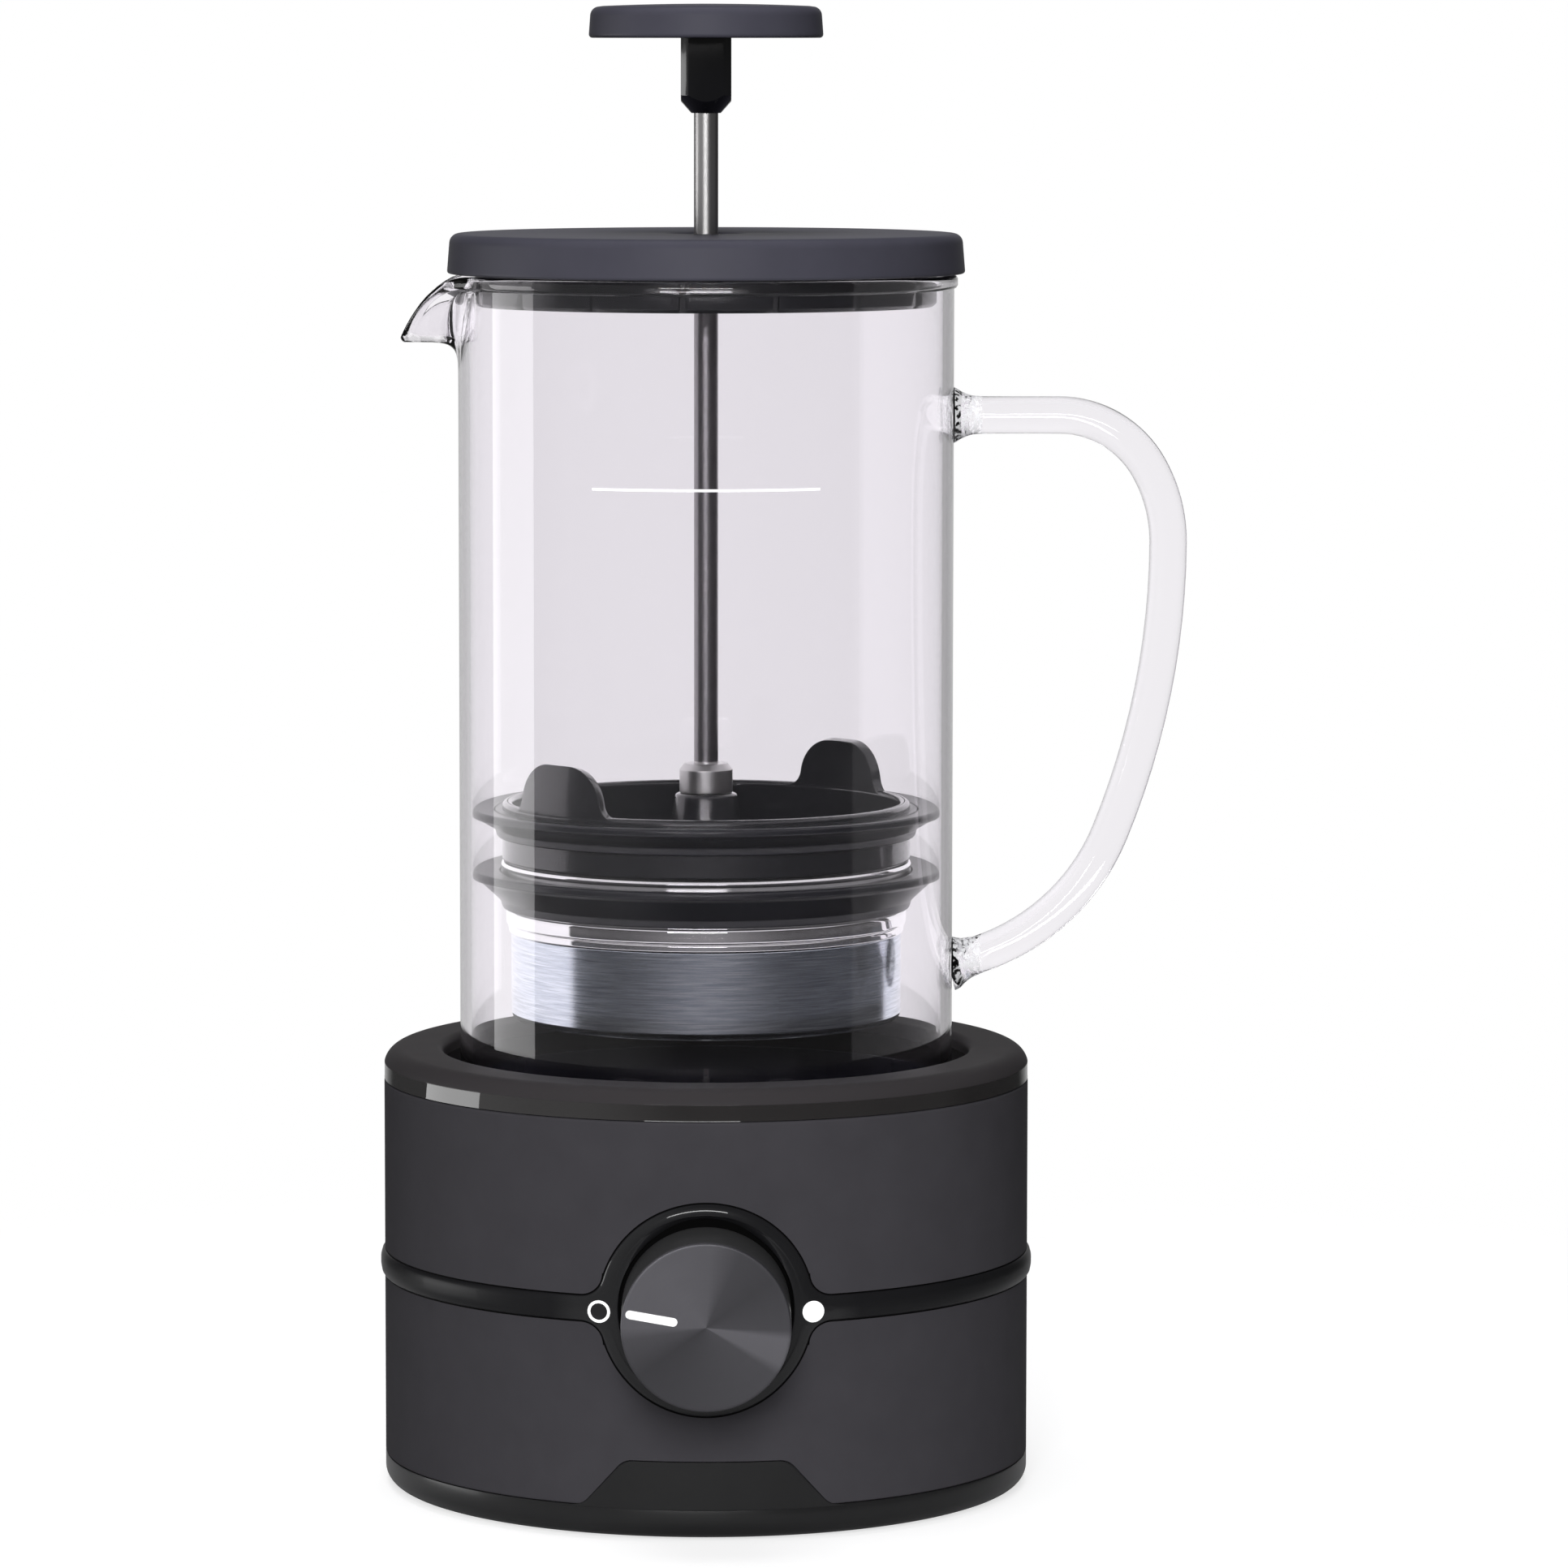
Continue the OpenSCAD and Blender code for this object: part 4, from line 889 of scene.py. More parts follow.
DISH_RINGS = [(rho, None) for rho in (20.4, 20.2, 20.0, 19.7, 19.4, 19.1, 18.85)] + [
    (CUP_R + 0.05, 69.2), (CUP_R, 68.6), (CUP_R, 66.6), (CUP_R - 0.5, CUP_FRONT),
    (SHAFT_HOLE_R, CUP_FRONT), (SHAFT_HOLE_R, CUP_BACK)]
INNER_RINGS = [(CUP_OUT_R, CUP_FRONT), (CUP_OUT_R, 63.8), (CUP_OUT_R - 0.4, CUP_BACK),
               (SHAFT_HOLE_R, CUP_BACK)]
outer_rows = {up: face_and_cup(up, edges[up][-1], BAND_R, DISH_RINGS) for up in (1, -1)}
inner_rows = {up: face_and_cup(up, edges[up][0], EDGE_LAYERS[0][1], INNER_RINGS)
              for up in (1, -1)}
for up in (1, -1):
    for low, high in zip(outer_rows[up], outer_rows[up][1:]):
        skin.bridge(*((low, high) if up > 0 else (high, low)))
    for low, high in zip(inner_rows[up], inner_rows[up][1:]):
        skin.bridge(*((high, low) if up > 0 else (low, high)))

# %% [markdown]
# The rows of the upper and the lower half are still open at their ends and along the back of the
# band. Bridging those closes the skin, and a Weld merges the points that both halves share.

# %% Closing the skin


def band_row(edge_row):
    """The part of an edge row that runs round the back, with both its ends on the front."""
    return [edge_row[FRONT - 1]] + edge_row[FRONT:] + [edge_row[0]]


for rows, flip in ((edges[1][-1], False), (edges[1][0], True)):
    lower_row = edges[-1][-1] if not flip else edges[-1][0]
    pair = (band_row(rows), band_row(lower_row))
    skin.bridge(*(pair[::-1] if flip else pair))
for rows, flip in ((outer_rows, False), (inner_rows, True)):
    for end in (0, -1):
        ups, downs = [r[end] for r in rows[1]], [r[end] for r in rows[-1]]
        pair = (ups, downs) if (end == 0) == flip else (downs, ups)
        skin.bridge(*pair)

trim = new_object("trim_band_gloss", skin.points, skin.faces, crease=38)
trim.modifiers.new("weld", "WELD").merge_threshold = 0.004 * MM
plain_mesh(trim)
trim.data.set_sharp_from_angle(angle=radians(38))
finished(trim, "trim", "base", "trim_band")

# %% [markdown]
# ## The marks for off and on
#
# Two marks are printed on the trim: an open ring for off and a full disc for on. They are thin
# prints, so each is a sheet a few hundredths of a millimetre proud, bent to the trim's face.

# %% Printed marks
MARK_X, MARK_Z, MARK_R, MARK_STROKE, PRINT_T = 22.75, 49.3, 2.3, 0.6, 0.05


def printed_ring(name, x_mid, r_in, r_out, steps=40, rows=4):
    """A printed ring or disc on the trim, closed at its back."""
    points, faces = [], []
    radii = [r_in + (r_out - r_in) * k / rows for k in range(rows + 1)]
    for lift in (PRINT_T, -0.05):
        for r in radii:
            for i in range(steps):
                a = 2 * pi * i / steps
                turn = asin((x_mid + r * cos(a)) / BAND_R)
                points.append(on_cylinder(turn, MARK_Z + r * sin(a), BAND_R + lift))
    size = steps * (rows + 1)
    for i in range(steps):
        j = (i + 1) % steps
        for k in range(rows):
            a, b = k * steps, (k + 1) * steps
            faces.append((a + i, b + i, b + j, a + j))
            faces.append((size + a + j, size + b + j, size + b + i, size + a + i))
        rim = rows * steps
        faces.append((rim + i, size + rim + i, size + rim + j, rim + j))
        if r_in > 0:
            faces.append((j, size + j, size + i, i))
    mark = new_object(name, points, faces, crease=50)
    mark.modifiers.new("weld", "WELD").merge_threshold = 0.002 * MM
    return plain_mesh(mark)


finished(printed_ring("mark_off", -MARK_X, MARK_R + 0.1 - MARK_STROKE, MARK_R + 0.1),
         "pointer_white", "base", finish="print_white")
finished(printed_ring("mark_on", MARK_X, 0.0, MARK_R), "pointer_white", "base",
         finish="print_white")

# %% [markdown]
# ## The dial
#
# The dial is a moulded drum with a turned metal face let into its front. Its section is carried
# round the dial's own axis. The pointer is a white bar let into the face.

# %% Dial pieces
DIAL_R, DIAL_BACK, FACE_Y = 17.9, 67.2, 92.0
drum = rounded([(0, DIAL_BACK), (DIAL_R, DIAL_BACK, 0.6), (DIAL_R, FACE_Y - 1.25),
                (0, FACE_Y - 1.25)], steps=6)
finished(turned("dial_drum", drum, dial=True), "dial_black", "dial", "dial_knob")
face = rounded([(0, FACE_Y - 1.2), (DIAL_R - 0.02, FACE_Y - 1.2),
                (DIAL_R - 0.02, FACE_Y - 0.02, 0.4), (0, FACE_Y - 0.02)], steps=4)
finished(turned("dial_face_turned", face, dial=True), "dial_metal", "dial", "dial_face")
dressed("dial_pointer", "pointer_white")

# %% [markdown]
# ## The carafe
#
# Body, pouring lip and handle are one piece of glass. The body is turned, but near the lip the
# section itself changes: the rim is drawn out and down over a wedge of the circle. So each slice
# gets its own section, from one rule that says how strongly the lip is drawn at that angle.

# %% Carafe sizes
GLASS_R, GLASS_IN_R, CARAFE_Z, FLOOR_Z, RIM_Z = 54.2, 51.8, 63.2, 66.2, 266.7
LIP_Z, LIP_REACH, LIP_DROP, LIP_HALF = 240.7, 11.8, 12.9, 24.0
CORNER_R, HEEL_R = 8.0, 5
BEAD_H, BEAD_PROUD, BEAD_THINNING = 3.0, 0.8, 1.1


def lip_pull(turn):
    """How strongly the lip is drawn at a turn from its middle, from 0 to 1."""
    return 0.0 if abs(turn) >= LIP_HALF else cos(radians(90 * turn / LIP_HALF)) ** 2


def wall_curve(base_r, out, low, rise):
    """The wall from the lip's root to the rim, curling outwards as it rises."""
    turns = [0, 5, 11, 18, 26, 34, 42, 50, 58, 66, 74, 82, 90]
    return [(base_r + out * (1 - max(0.0, cos(radians(t))) ** (1 / 3)),
             low + rise * sin(radians(t)) ** (1 / 3)) for t in turns]


def glass_section(pull):
    """The section from the middle of the bottom, up the outside and down the inside."""
    out = LIP_REACH * pull
    top = RIM_Z - LIP_DROP * pull ** 2.2
    bead = BEAD_H - BEAD_THINNING * pull
    outside = wall_curve(GLASS_R, out, LIP_Z, top - bead - LIP_Z)
    inside = wall_curve(GLASS_IN_R, out, LIP_Z, top - 0.7 - LIP_Z)
    r = GLASS_R + out
    roll = [(r + 0.45, top - bead + 0.25), (r + BEAD_PROUD, top - bead + 0.8),
            (r + BEAD_PROUD, top - 0.8), (r + BEAD_PROUD - 0.25, top - 0.3), (r + 0.1, top),
            (r - 1.0, top), (r - 1.8, top - 0.15)]
    bottom = [(0, CARAFE_Z), (20, CARAFE_Z), (40, CARAFE_Z)]
    foot = arc_points(GLASS_R - CORNER_R, CARAFE_Z + CORNER_R, CORNER_R, -90, 0, 10)
    heel = arc_points(GLASS_IN_R - HEEL_R, FLOOR_Z + HEEL_R, HEEL_R, 0, -90, 8)
    body_out = [(GLASS_R, 90.0), (GLASS_R, 150.0), (GLASS_R, 210.0)]
    body_in = [(GLASS_IN_R, 210.0), (GLASS_IN_R, 150.0), (GLASS_IN_R, 90.0)]
    return (bottom + foot + body_out + outside + roll + inside[::-1] + body_in + heel
            + [(40, FLOOR_Z), (20, FLOOR_Z), (0, FLOOR_Z)])

# %% [markdown]
# Every slice's section has the same number of points, so neighbouring slices join with
# four-sided faces. Only the two ends of a section lie on the axis, and there each slice shares
# one point.

# %% Carafe body


def carafe_body(slices=240):
    """The glass body, with the lip's middle on the left, in the -X direction."""
    points, rings, sections = [], [], []
    for i in range(slices):
        turn = 360 * i / slices
        off = (turn + 180) % 360 - 180
        sections.append([(r, z, radians(turn)) for r, z in glass_section(lip_pull(off))])
    count = len(sections[0])
    for k in range(count):
        rings.append(len(points))
        spots = sections[:1] if sections[0][k][0] < ON_AXIS else sections
        for section in spots:
            r, z, t = section[k]
            points.append((-r * cos(t), -r * sin(t), z))
    faces = []
    for k in range(count - 1):
        low, high = rings[k], rings[k + 1]
        for i in range(slices):
            j = (i + 1) % slices
            if k == 0:
                faces.append((low, high + j, high + i))
            elif k == count - 2:
                faces.append((low + i, low + j, high))
            else:
                faces.append((low + i, low + j, high + j, high + i))
    return new_object("carafe_clear", points, faces, crease=60)


carafe = carafe_body()

# %% [markdown]
# The handle is a glass rod that was bent hot and welded on at both ends, where it flares. It
# follows a path, which is what Curve to Mesh is for: the path is a chain of points that carry
# their own thickness, and a Geometry Nodes tree sweeps a circle along it.

# %% Geometry Nodes recipes


class Recipe(Maker):
    """A Geometry Nodes tree with named sizes."""

    def __init__(self, name, **sizes):
        tree = bpy.data.node_groups.new(name, "GeometryNodeTree")
        super().__init__(tree)
        face = tree.interface
        face.new_socket("Geometry", in_out="INPUT", socket_type="NodeSocketGeometry")
        face.new_socket("Geometry", in_out="OUTPUT", socket_type="NodeSocketGeometry")
        self.entry = tree.nodes.new("NodeGroupInput")
        self.keys = {}
        for label, default in sizes.items():
            kind = "NodeSocketInt" if isinstance(default, int) else "NodeSocketFloat"
            socket = face.new_socket(label.replace("_", " ").capitalize(), in_out="INPUT",
                                     socket_type=kind)
            socket.default_value = default
            self.keys[label] = socket.identifier

    def given(self):
        """The geometry that the tree starts from."""
        return Wire(self, self.entry.outputs[0])

    def size(self, label):
        found = [s for s in self.entry.outputs if s.identifier == self.keys[label]]
        return Wire(self, found[0])

    def vector(self, x=0.0, y=0.0, z=0.0):
        return self.node("ShaderNodeCombineXYZ", values={0: x, 1: y, 2: z})

    def close(self, geometry, material):
        """Ends the tree: instances become real, and the material is set."""
        real = self.node("GeometryNodeRealizeInstances", values={0: geometry})
        done = self.node("GeometryNodeSetMaterial", values={0: real, "Material": material})
        end = self.tree.nodes.new("NodeGroupOutput")
        self.tree.links.new(done.socket, end.inputs[0])
        return self


def grown(name, recipe, mesh=None, crease=32, **sizes):
    """Runs a recipe on a mesh and keeps the plain mesh that it makes."""
    piece = bpy.data.objects.new(name, mesh or bpy.data.meshes.new(name))
    bpy.context.scene.collection.objects.link(piece)
    modifier = piece.modifiers.new(name, "NODES")
    modifier.node_group = recipe.tree
    for label, value in sizes.items():
        modifier[recipe.keys[label]] = value
    plain_mesh(piece)
    piece.data.shade_smooth()
    piece.data.set_sharp_from_angle(angle=radians(crease))
    return piece


# %% Handle path
HANDLE_R, WELD_FLARE, WELD_LENGTH, ARM_Z = 4.1, 2.2, 6.0, 236.0
SHOULDER_R, GRIP_R, GRIP_X = 22.7, 33.0, 101.3
BENDS = [(SHOULDER_R, 0, 60, 16), (GRIP_R, 60, 90, 10), (171.0, 90, 112, 12),
         (46.98, 112, 165, 16)]


def handle_path():
    """Points (x, z) along the handle: an arm, then bends of (radius, headings below +X)."""
    corner_x = GRIP_X - GRIP_R * (1 - sin(radians(60)))
    arm_end = corner_x - SHOULDER_R * sin(radians(60))
    arm = [GLASS_R + step for step in (-1.3, -0.3, 0.6, 1.6, 2.8, 4.2, 6.5)]
    arm += [(GLASS_R + 7 + arm_end) / 2, arm_end]
    path = [(x, ARM_Z) for x in arm]
    for r, start, end, steps in BENDS:
        x0, z0 = path[-1]
        for k in range(1, steps + 1):
            a, h = radians(start), radians(start + (end - start) * k / steps)
            path.append((x0 + r * (sin(h) - sin(a)), z0 + r * (cos(h) - cos(a))))
    x0, z0 = path[-1]
    heading = radians(BENDS[-1][2])
    return path + [(x0 + d * cos(heading), z0 - d * sin(heading)) for d in (1.0, 2.0, 3.0, 4.3)]


def path_mesh(name, path, thickness):
    mesh = bpy.data.meshes.new(name)
    mesh.from_pydata([(x * MM, 0, z * MM) for x, z in path],
                     [(i, i + 1) for i in range(len(path) - 1)], [])
    carried = mesh.attributes.new("thickness", "FLOAT", "POINT")
    for item, value in zip(carried.data, thickness):
        item.value = value
    return mesh


def weld_growth(x):
    """How much thicker than the rod the glass is, near its welds."""
    near = max(0.0, 1 - max(0.0, x - GLASS_R) / WELD_LENGTH)
    return 1 + WELD_FLARE / HANDLE_R * near ** 2.2

# %% Sweeping the handle
sweep = Recipe("rod along a path", rod_radius=HANDLE_R * MM, sides=32)
path_curve = sweep.node("GeometryNodeMeshToCurve", values={0: sweep.given()})
circle = sweep.node("GeometryNodeCurvePrimitiveCircle", {"mode": "RADIUS"},
                    {"Resolution": sweep.size("sides"), "Radius": sweep.size("rod_radius")})
growth = sweep.node("GeometryNodeInputNamedAttribute", {"data_type": "FLOAT"},
                    {"Name": "thickness"})
rod = sweep.node("GeometryNodeCurveToMesh", values={
    "Curve": path_curve, "Profile Curve": circle, "Scale": growth, "Fill Caps": True})
sweep.close(rod, finishes["glass"])

path = handle_path()
handle = grown("handle", sweep, path_mesh("path", path, [weld_growth(x) for x, _ in path]),
               crease=60, rod_radius=HANDLE_R * MM, sides=32)
print("handle ends at", [round(v, 1) for v in path[-1]], "faces", len(handle.data.polygons))

# %% [markdown]
# Joined as one solid, body and handle have no hidden wall between them. That matters for glass,
# because every wall bends the light. The rod's end stops within the wall.

# %% One piece of glass
combined(carafe, handle, "UNION")
carafe.data.set_sharp_from_angle(angle=radians(50))
finished(carafe, "glass", "carafe", "carafe_glass", "carafe_lip", "carafe_handle")

# %% [markdown]
# The fill line is fired on to the outside of the glass: a thin white stroke over a seventh of
# the way round.

# %% Fill line
LINE_Z, LINE_W, LINE_HALF = 222.7, 0.55, 26.5


def fill_line(steps=48):
    inner, outer = GLASS_R - 0.02, GLASS_R + 0.06
    low, high = LINE_Z - LINE_W / 2, LINE_Z + LINE_W / 2
    section = [(inner, low), (outer, low), (outer, high), (inner, high)]
    line = Skin()
    rows = []
    for k in range(steps + 1):
        turn = radians(LINE_HALF * (1 - 2 * k / steps))
        rows.append(line.row([on_cylinder(turn, z, r) for r, z in section]))
    for row, next_row in zip(rows, rows[1:]):
        line.bridge(row, next_row, closed=True)
    line.faces += [tuple(rows[0][::-1]), tuple(rows[-1])]
    return new_object("fill_line", line.points, line.faces, crease=20)


finished(fill_line(), "pointer_white", "carafe", finish="print_white")

# %% [markdown]
# ## Lid, plug and knob
#
# The lid is a shallow matt cap with a soft upper edge. The knob is a smaller disc of the same
# material, a little crowned, on a polished square hub.

# %% Lid
LID_Z, LID_TOP, LID_R, LID_IN_R = 267.0, 275.7, 56.6, 48.4
lid_corners = [
    (5.0, LID_Z), (8.0, LID_Z), (8.0, LID_TOP - WALL), (LID_IN_R, LID_TOP - WALL),
    (LID_IN_R, LID_Z), (LID_R, LID_Z, 0.6), (LID_R - 0.7, LID_TOP, 2.1), (9.0, LID_TOP),
    (7.5, LID_TOP - 0.5, 0.3), (5.0, LID_TOP - 0.5)]
finished(turned("lid_matt", rounded(lid_corners, steps=7), slices=240),
         "lid_charcoal", "lid", "lid_cap")
bush_corners = [(2.7, 260.0), (5.0, 260.0), (5.0, 275.4, 0.4), (2.7, 275.4, 0.3)]
finished(turned("bush_satin", rounded(bush_corners)), "plug_black", "lid", "rod_bush")
dressed("lid_plug", "plug_black", bevel=0.2)

# %% Knob
KNOB_R, KNOB_Z, KNOB_TOP, CROWN_R, CROWN_HALF = 25.6, 318.1, 325.5, 520, 22.5
crown = arc_points(0, KNOB_TOP - CROWN_R, CROWN_R, 90, 90 - degrees(CROWN_HALF / CROWN_R), 6)
knob_side = rounded([(0, KNOB_Z), (KNOB_R, KNOB_Z, 0.8), (KNOB_R - 0.5, KNOB_TOP - 0.6, 2.0),
                     (0, KNOB_TOP - 0.6)], steps=8)
knob_side = [p for p in knob_side if not (p[0] < CROWN_HALF + 0.5 and p[1] > KNOB_TOP - 1.2)]
finished(turned("knob_matt", knob_side + crown[::-1], slices=200),
         "lid_charcoal", "plunger", "plunger_knob")
dressed("knob_hub", "hub_black", bevel=0.45, crease=20)

# %% [markdown]
# The rod is ground steel with a turned collar at its foot, and each edge is broken so that it
# draws a thin bright line.

# %% Rod and collar
ROD_R, ROD_Z, ROD_TOP = 2.65, 147.1, 314.1
rod_outline = rounded([(0, ROD_Z), (ROD_R, ROD_Z, 0.3), (ROD_R, ROD_TOP, 0.3), (0, ROD_TOP)])
finished(turned("rod_ground", rod_outline, slices=64), "rod_steel", "plunger", "plunger_rod")
collar = rounded([(ROD_R, 153.1), (5.85, 153.1, 0.25), (5.85, 158.2, 0.3), (4.75, 159.6, 0.25),
                  (ROD_R, 159.6, 0.1)])
finished(turned("collar_turned", collar, slices=96), "rod_steel", "plunger", "rod_collar")

# %% [markdown]
# ## Strainer cap
#
# The cap closes the basket: a rounded wall, two finger tabs that stand up from it and curve with
# it, and a boss that the rod's collar sits on. Six spokes join boss and wall. They repeat round
# the axis, so a recipe places them. Wall, tabs and boss are pieces of their own, each sunk a
# little into the next, as their joins are hidden.

# %% Cap wall and boss
CAP_R, CAP_WALL, CAP_RIM, CAP_Z, SPIGOT_R = 44.9, 2.4, 151.5, 138.8, 42.6
CAP_IN = CAP_R - CAP_WALL
cap_corners = [
    (SPIGOT_R - 2, CAP_Z - 5.5), (SPIGOT_R, CAP_Z - 5.5, 0.4), (SPIGOT_R, CAP_Z),
    (CAP_R, CAP_Z, 0.4), (CAP_R, CAP_RIM, 1.0), (CAP_IN, CAP_RIM, 1.0), (CAP_IN, CAP_Z + 1.4, 0.8),
    (CAP_IN - 3, CAP_Z + 1.4, 0.4), (CAP_IN - 3, CAP_Z), (SPIGOT_R - 2, CAP_Z)]
cap = turned("strainer_cap_satin", rounded(cap_corners, steps=5), slices=200)
boss_corners = [(2.66, CAP_Z - 0.2), (9.0, CAP_Z - 0.2), (6.7, 153.0, 0.8), (2.66, 153.0)]
boss = turned("cap_boss", rounded(boss_corners, steps=5), slices=96)

# %% [markdown]
# A finger tab is an ear: a round head on hollow feet. The hollow arc of the foot and the round
# arc of the head have to touch without a kink, so the angle at which they meet is worked out
# from their radii and heights. The sheet then bends round the cap and leans in as it rises.

# %% Finger tabs
TAB_HALF, TAB_RISE, TAB_LEAN = 12.25, 10.5, 0.9
FOOT_R, HEAD_R = 4.0, 9.0


def finger_tab(direction, columns=28):
    """A finger tab: an ear with a round head and hollow feet, bent round the cap's wall."""
    foot_z, head_z = CAP_RIM + FOOT_R - 0.7, CAP_RIM + TAB_RISE - HEAD_R
    span = HEAD_R + FOOT_R
    foot_x = TAB_HALF - HEAD_R + sqrt(span ** 2 - (foot_z - head_z) ** 2)
    meet = degrees(asin((foot_z - head_z) / span))
    rows = [(foot_x, CAP_RIM - 4.5)] + arc_points(foot_x, foot_z, FOOT_R, 270, 180 + meet, 8)
    rows += arc_points(TAB_HALF - HEAD_R, head_z, HEAD_R, meet, 90, 10)[1:]
    ear = Skin()
    made = []
    for reach, z in rows:
        lean = TAB_LEAN * max(0.0, (z - CAP_RIM) / TAB_RISE) ** 2
        spots = []
        for i in range(columns + 1):
            turn = radians(direction) + reach * (2 * i / columns - 1) / CAP_R
            r = CAP_R - 0.06 - lean
            spots.append((r * cos(turn), r * sin(turn), z))
        made.append(ear.row(spots))
    for low, high in zip(made, made[1:]):
        ear.bridge(low, high)
    tab = new_object("ear", ear.points, ear.faces)
    thick = tab.modifiers.new("thick", "SOLIDIFY")
    thick.thickness, thick.offset = (CAP_WALL - 0.1) * MM, -1.0
    edges = tab.modifiers.new("edges", "BEVEL")
    edges.width, edges.segments = 0.8 * MM, 4
    edges.limit_method, edges.angle_limit = "ANGLE", radians(55)
    plain_mesh(tab)
    tab.data.set_sharp_from_angle(angle=radians(34))
    return tab


for direction in (44, 224):
    finished(finger_tab(direction), "strainer_black", "plunger")

# %% Cap spokes
SPOKES, SPOKE_REACH, SPOKE_INNER = 6, 37.5, 4.25
spokes = Recipe("spokes round an axis", count=SPOKES, reach=SPOKE_REACH * MM, width=2.5 * MM,
                height=1.8 * MM)
hub_ring = spokes.node("GeometryNodeMeshCircle", values={
    "Vertices": spokes.size("count"), "Radius": spokes.size("reach") / 2 + SPOKE_INNER * MM})
bar = spokes.node("GeometryNodeMeshCube", values={
    "Size": spokes.vector(spokes.size("reach"), spokes.size("width"), spokes.size("height"))})
outward = spokes.node("GeometryNodeInputPosition")
facing = spokes.node("FunctionNodeAlignRotationToVector", {"axis": "X"}, {"Vector": outward})
placed = spokes.node("GeometryNodeInstanceOnPoints", values={
    "Points": hub_ring, "Instance": bar, "Rotation": facing})
lifted = spokes.node("GeometryNodeTransform", values={
    0: placed, "Translation": (0, 0, (CAP_Z + 0.9) * MM), "Rotation": (0, 0, radians(30))})
spokes.close(lifted, finishes["strainer_black"])
star = grown("star", spokes, count=SPOKES, reach=SPOKE_REACH * MM)
combined(boss, star, "UNION")
finished(boss, "strainer_black", "plunger")
finished(cap, "strainer_black", "plunger", "strainer_cap")

# %% [markdown]
# ## Woven mesh
#
# Two discs of woven steel hold back the grounds. A weave follows a rule: at each crossing the
# wires along one way and the wires across it change sides. The recipe starts from a grid, keeps
# only the edges one way, lifts every second crossing, and sweeps a small circle along each wire.

# %% Weave recipe


def weave_recipe(material):
    weave = Recipe("woven disc", radius=40 * MM, pitch=1.9 * MM, wire_radius=0.26 * MM,
                   height=0.1, cells=43)
    span = weave.size("pitch") * (weave.size("cells") - 1)
    sheets = []
    for way in (0, 1):
        grid = weave.node("GeometryNodeMeshGrid", values={
            0: span, 1: span, 2: weave.size("cells"), 3: weave.size("cells")})
        split = weave.node("ShaderNodeSeparateXYZ", values={
            0: weave.node("GeometryNodeInputPosition")}).socket.node
        x, y = Wire(weave, split.outputs[0]), Wire(weave, split.outputs[1])
        count = weave.math("ROUND", (x + y) / weave.size("pitch"))
        wave = weave.math("PINGPONG", count, 1.0) * 2 - 1
        sign = 1 if way == 0 else -1
        lift = weave.vector(0.0, 0.0, wave * weave.size("wire_radius") * (0.9 * sign))
        moved = weave.node("GeometryNodeSetPosition", values={0: grid, "Offset": lift})
        ends = weave.node("GeometryNodeInputMeshEdgeVertices").socket.node
        first = weave.node("ShaderNodeSeparateXYZ", values={0: Wire(weave, ends.outputs[2])})
        second = weave.node("ShaderNodeSeparateXYZ", values={0: Wire(weave, ends.outputs[3])})
        a = Wire(weave, first.socket.node.outputs[way])
        b = Wire(weave, second.socket.node.outputs[way])
        crosswise = weave.math("GREATER_THAN", weave.math("ABSOLUTE", a - b), 0.2 * MM)
        thinned = weave.node("GeometryNodeDeleteGeometry", {"domain": "EDGE", "mode": "EDGE_FACE"},
                             {0: moved, "Selection": crosswise})
        far = weave.math("SQRT", x * x + y * y)
        outside = weave.math("GREATER_THAN", far, weave.size("radius"))
        trimmed = weave.node("GeometryNodeDeleteGeometry", {"domain": "POINT"},
                             {0: thinned, "Selection": outside})
        sheets.append(weave.node("GeometryNodeMeshToCurve", values={0: trimmed}))
    joined = weave.node("GeometryNodeJoinGeometry", values={0: sheets[0]})
    weave.tree.links.new(sheets[1].socket, joined.socket.node.inputs[0])
    circle = weave.node("GeometryNodeCurvePrimitiveCircle", {"mode": "RADIUS"},
                        {"Resolution": 5, "Radius": weave.size("wire_radius")})
    wires = weave.node("GeometryNodeCurveToMesh", values={
        "Curve": joined, "Profile Curve": circle, "Fill Caps": True})
    lifted = weave.node("GeometryNodeTransform", values={
        0: wires, "Translation": weave.vector(0.0, 0.0, weave.size("height"))})
    return weave.close(lifted, material)

# %% Both meshes
WIRE_R = 0.17
weave = weave_recipe(finishes["mesh_steel"])
cap_weave = grown("cap_mesh_woven", weave, radius=40.4 * MM, height=(CAP_Z - 0.35) * MM,
                  wire_radius=WIRE_R * MM, crease=60)
finished(cap_weave, "mesh_steel", "plunger", "cap_mesh")
basket_weave = grown("basket_mesh_woven", weave, radius=41.9 * MM, height=104.75 * MM, cells=45,
                     wire_radius=WIRE_R * MM, crease=60)
finished(basket_weave, "mesh_steel", "basket", "basket_mesh")

# %% [markdown]
# ## Basket and seals
#
# The basket is pressed from thin steel: a rolled rim, a neck for the seal, a swelled shoulder
# and a straight wall turned in at the bottom to hold the mesh. The seals are soft rings whose
# lips lean out to the glass.

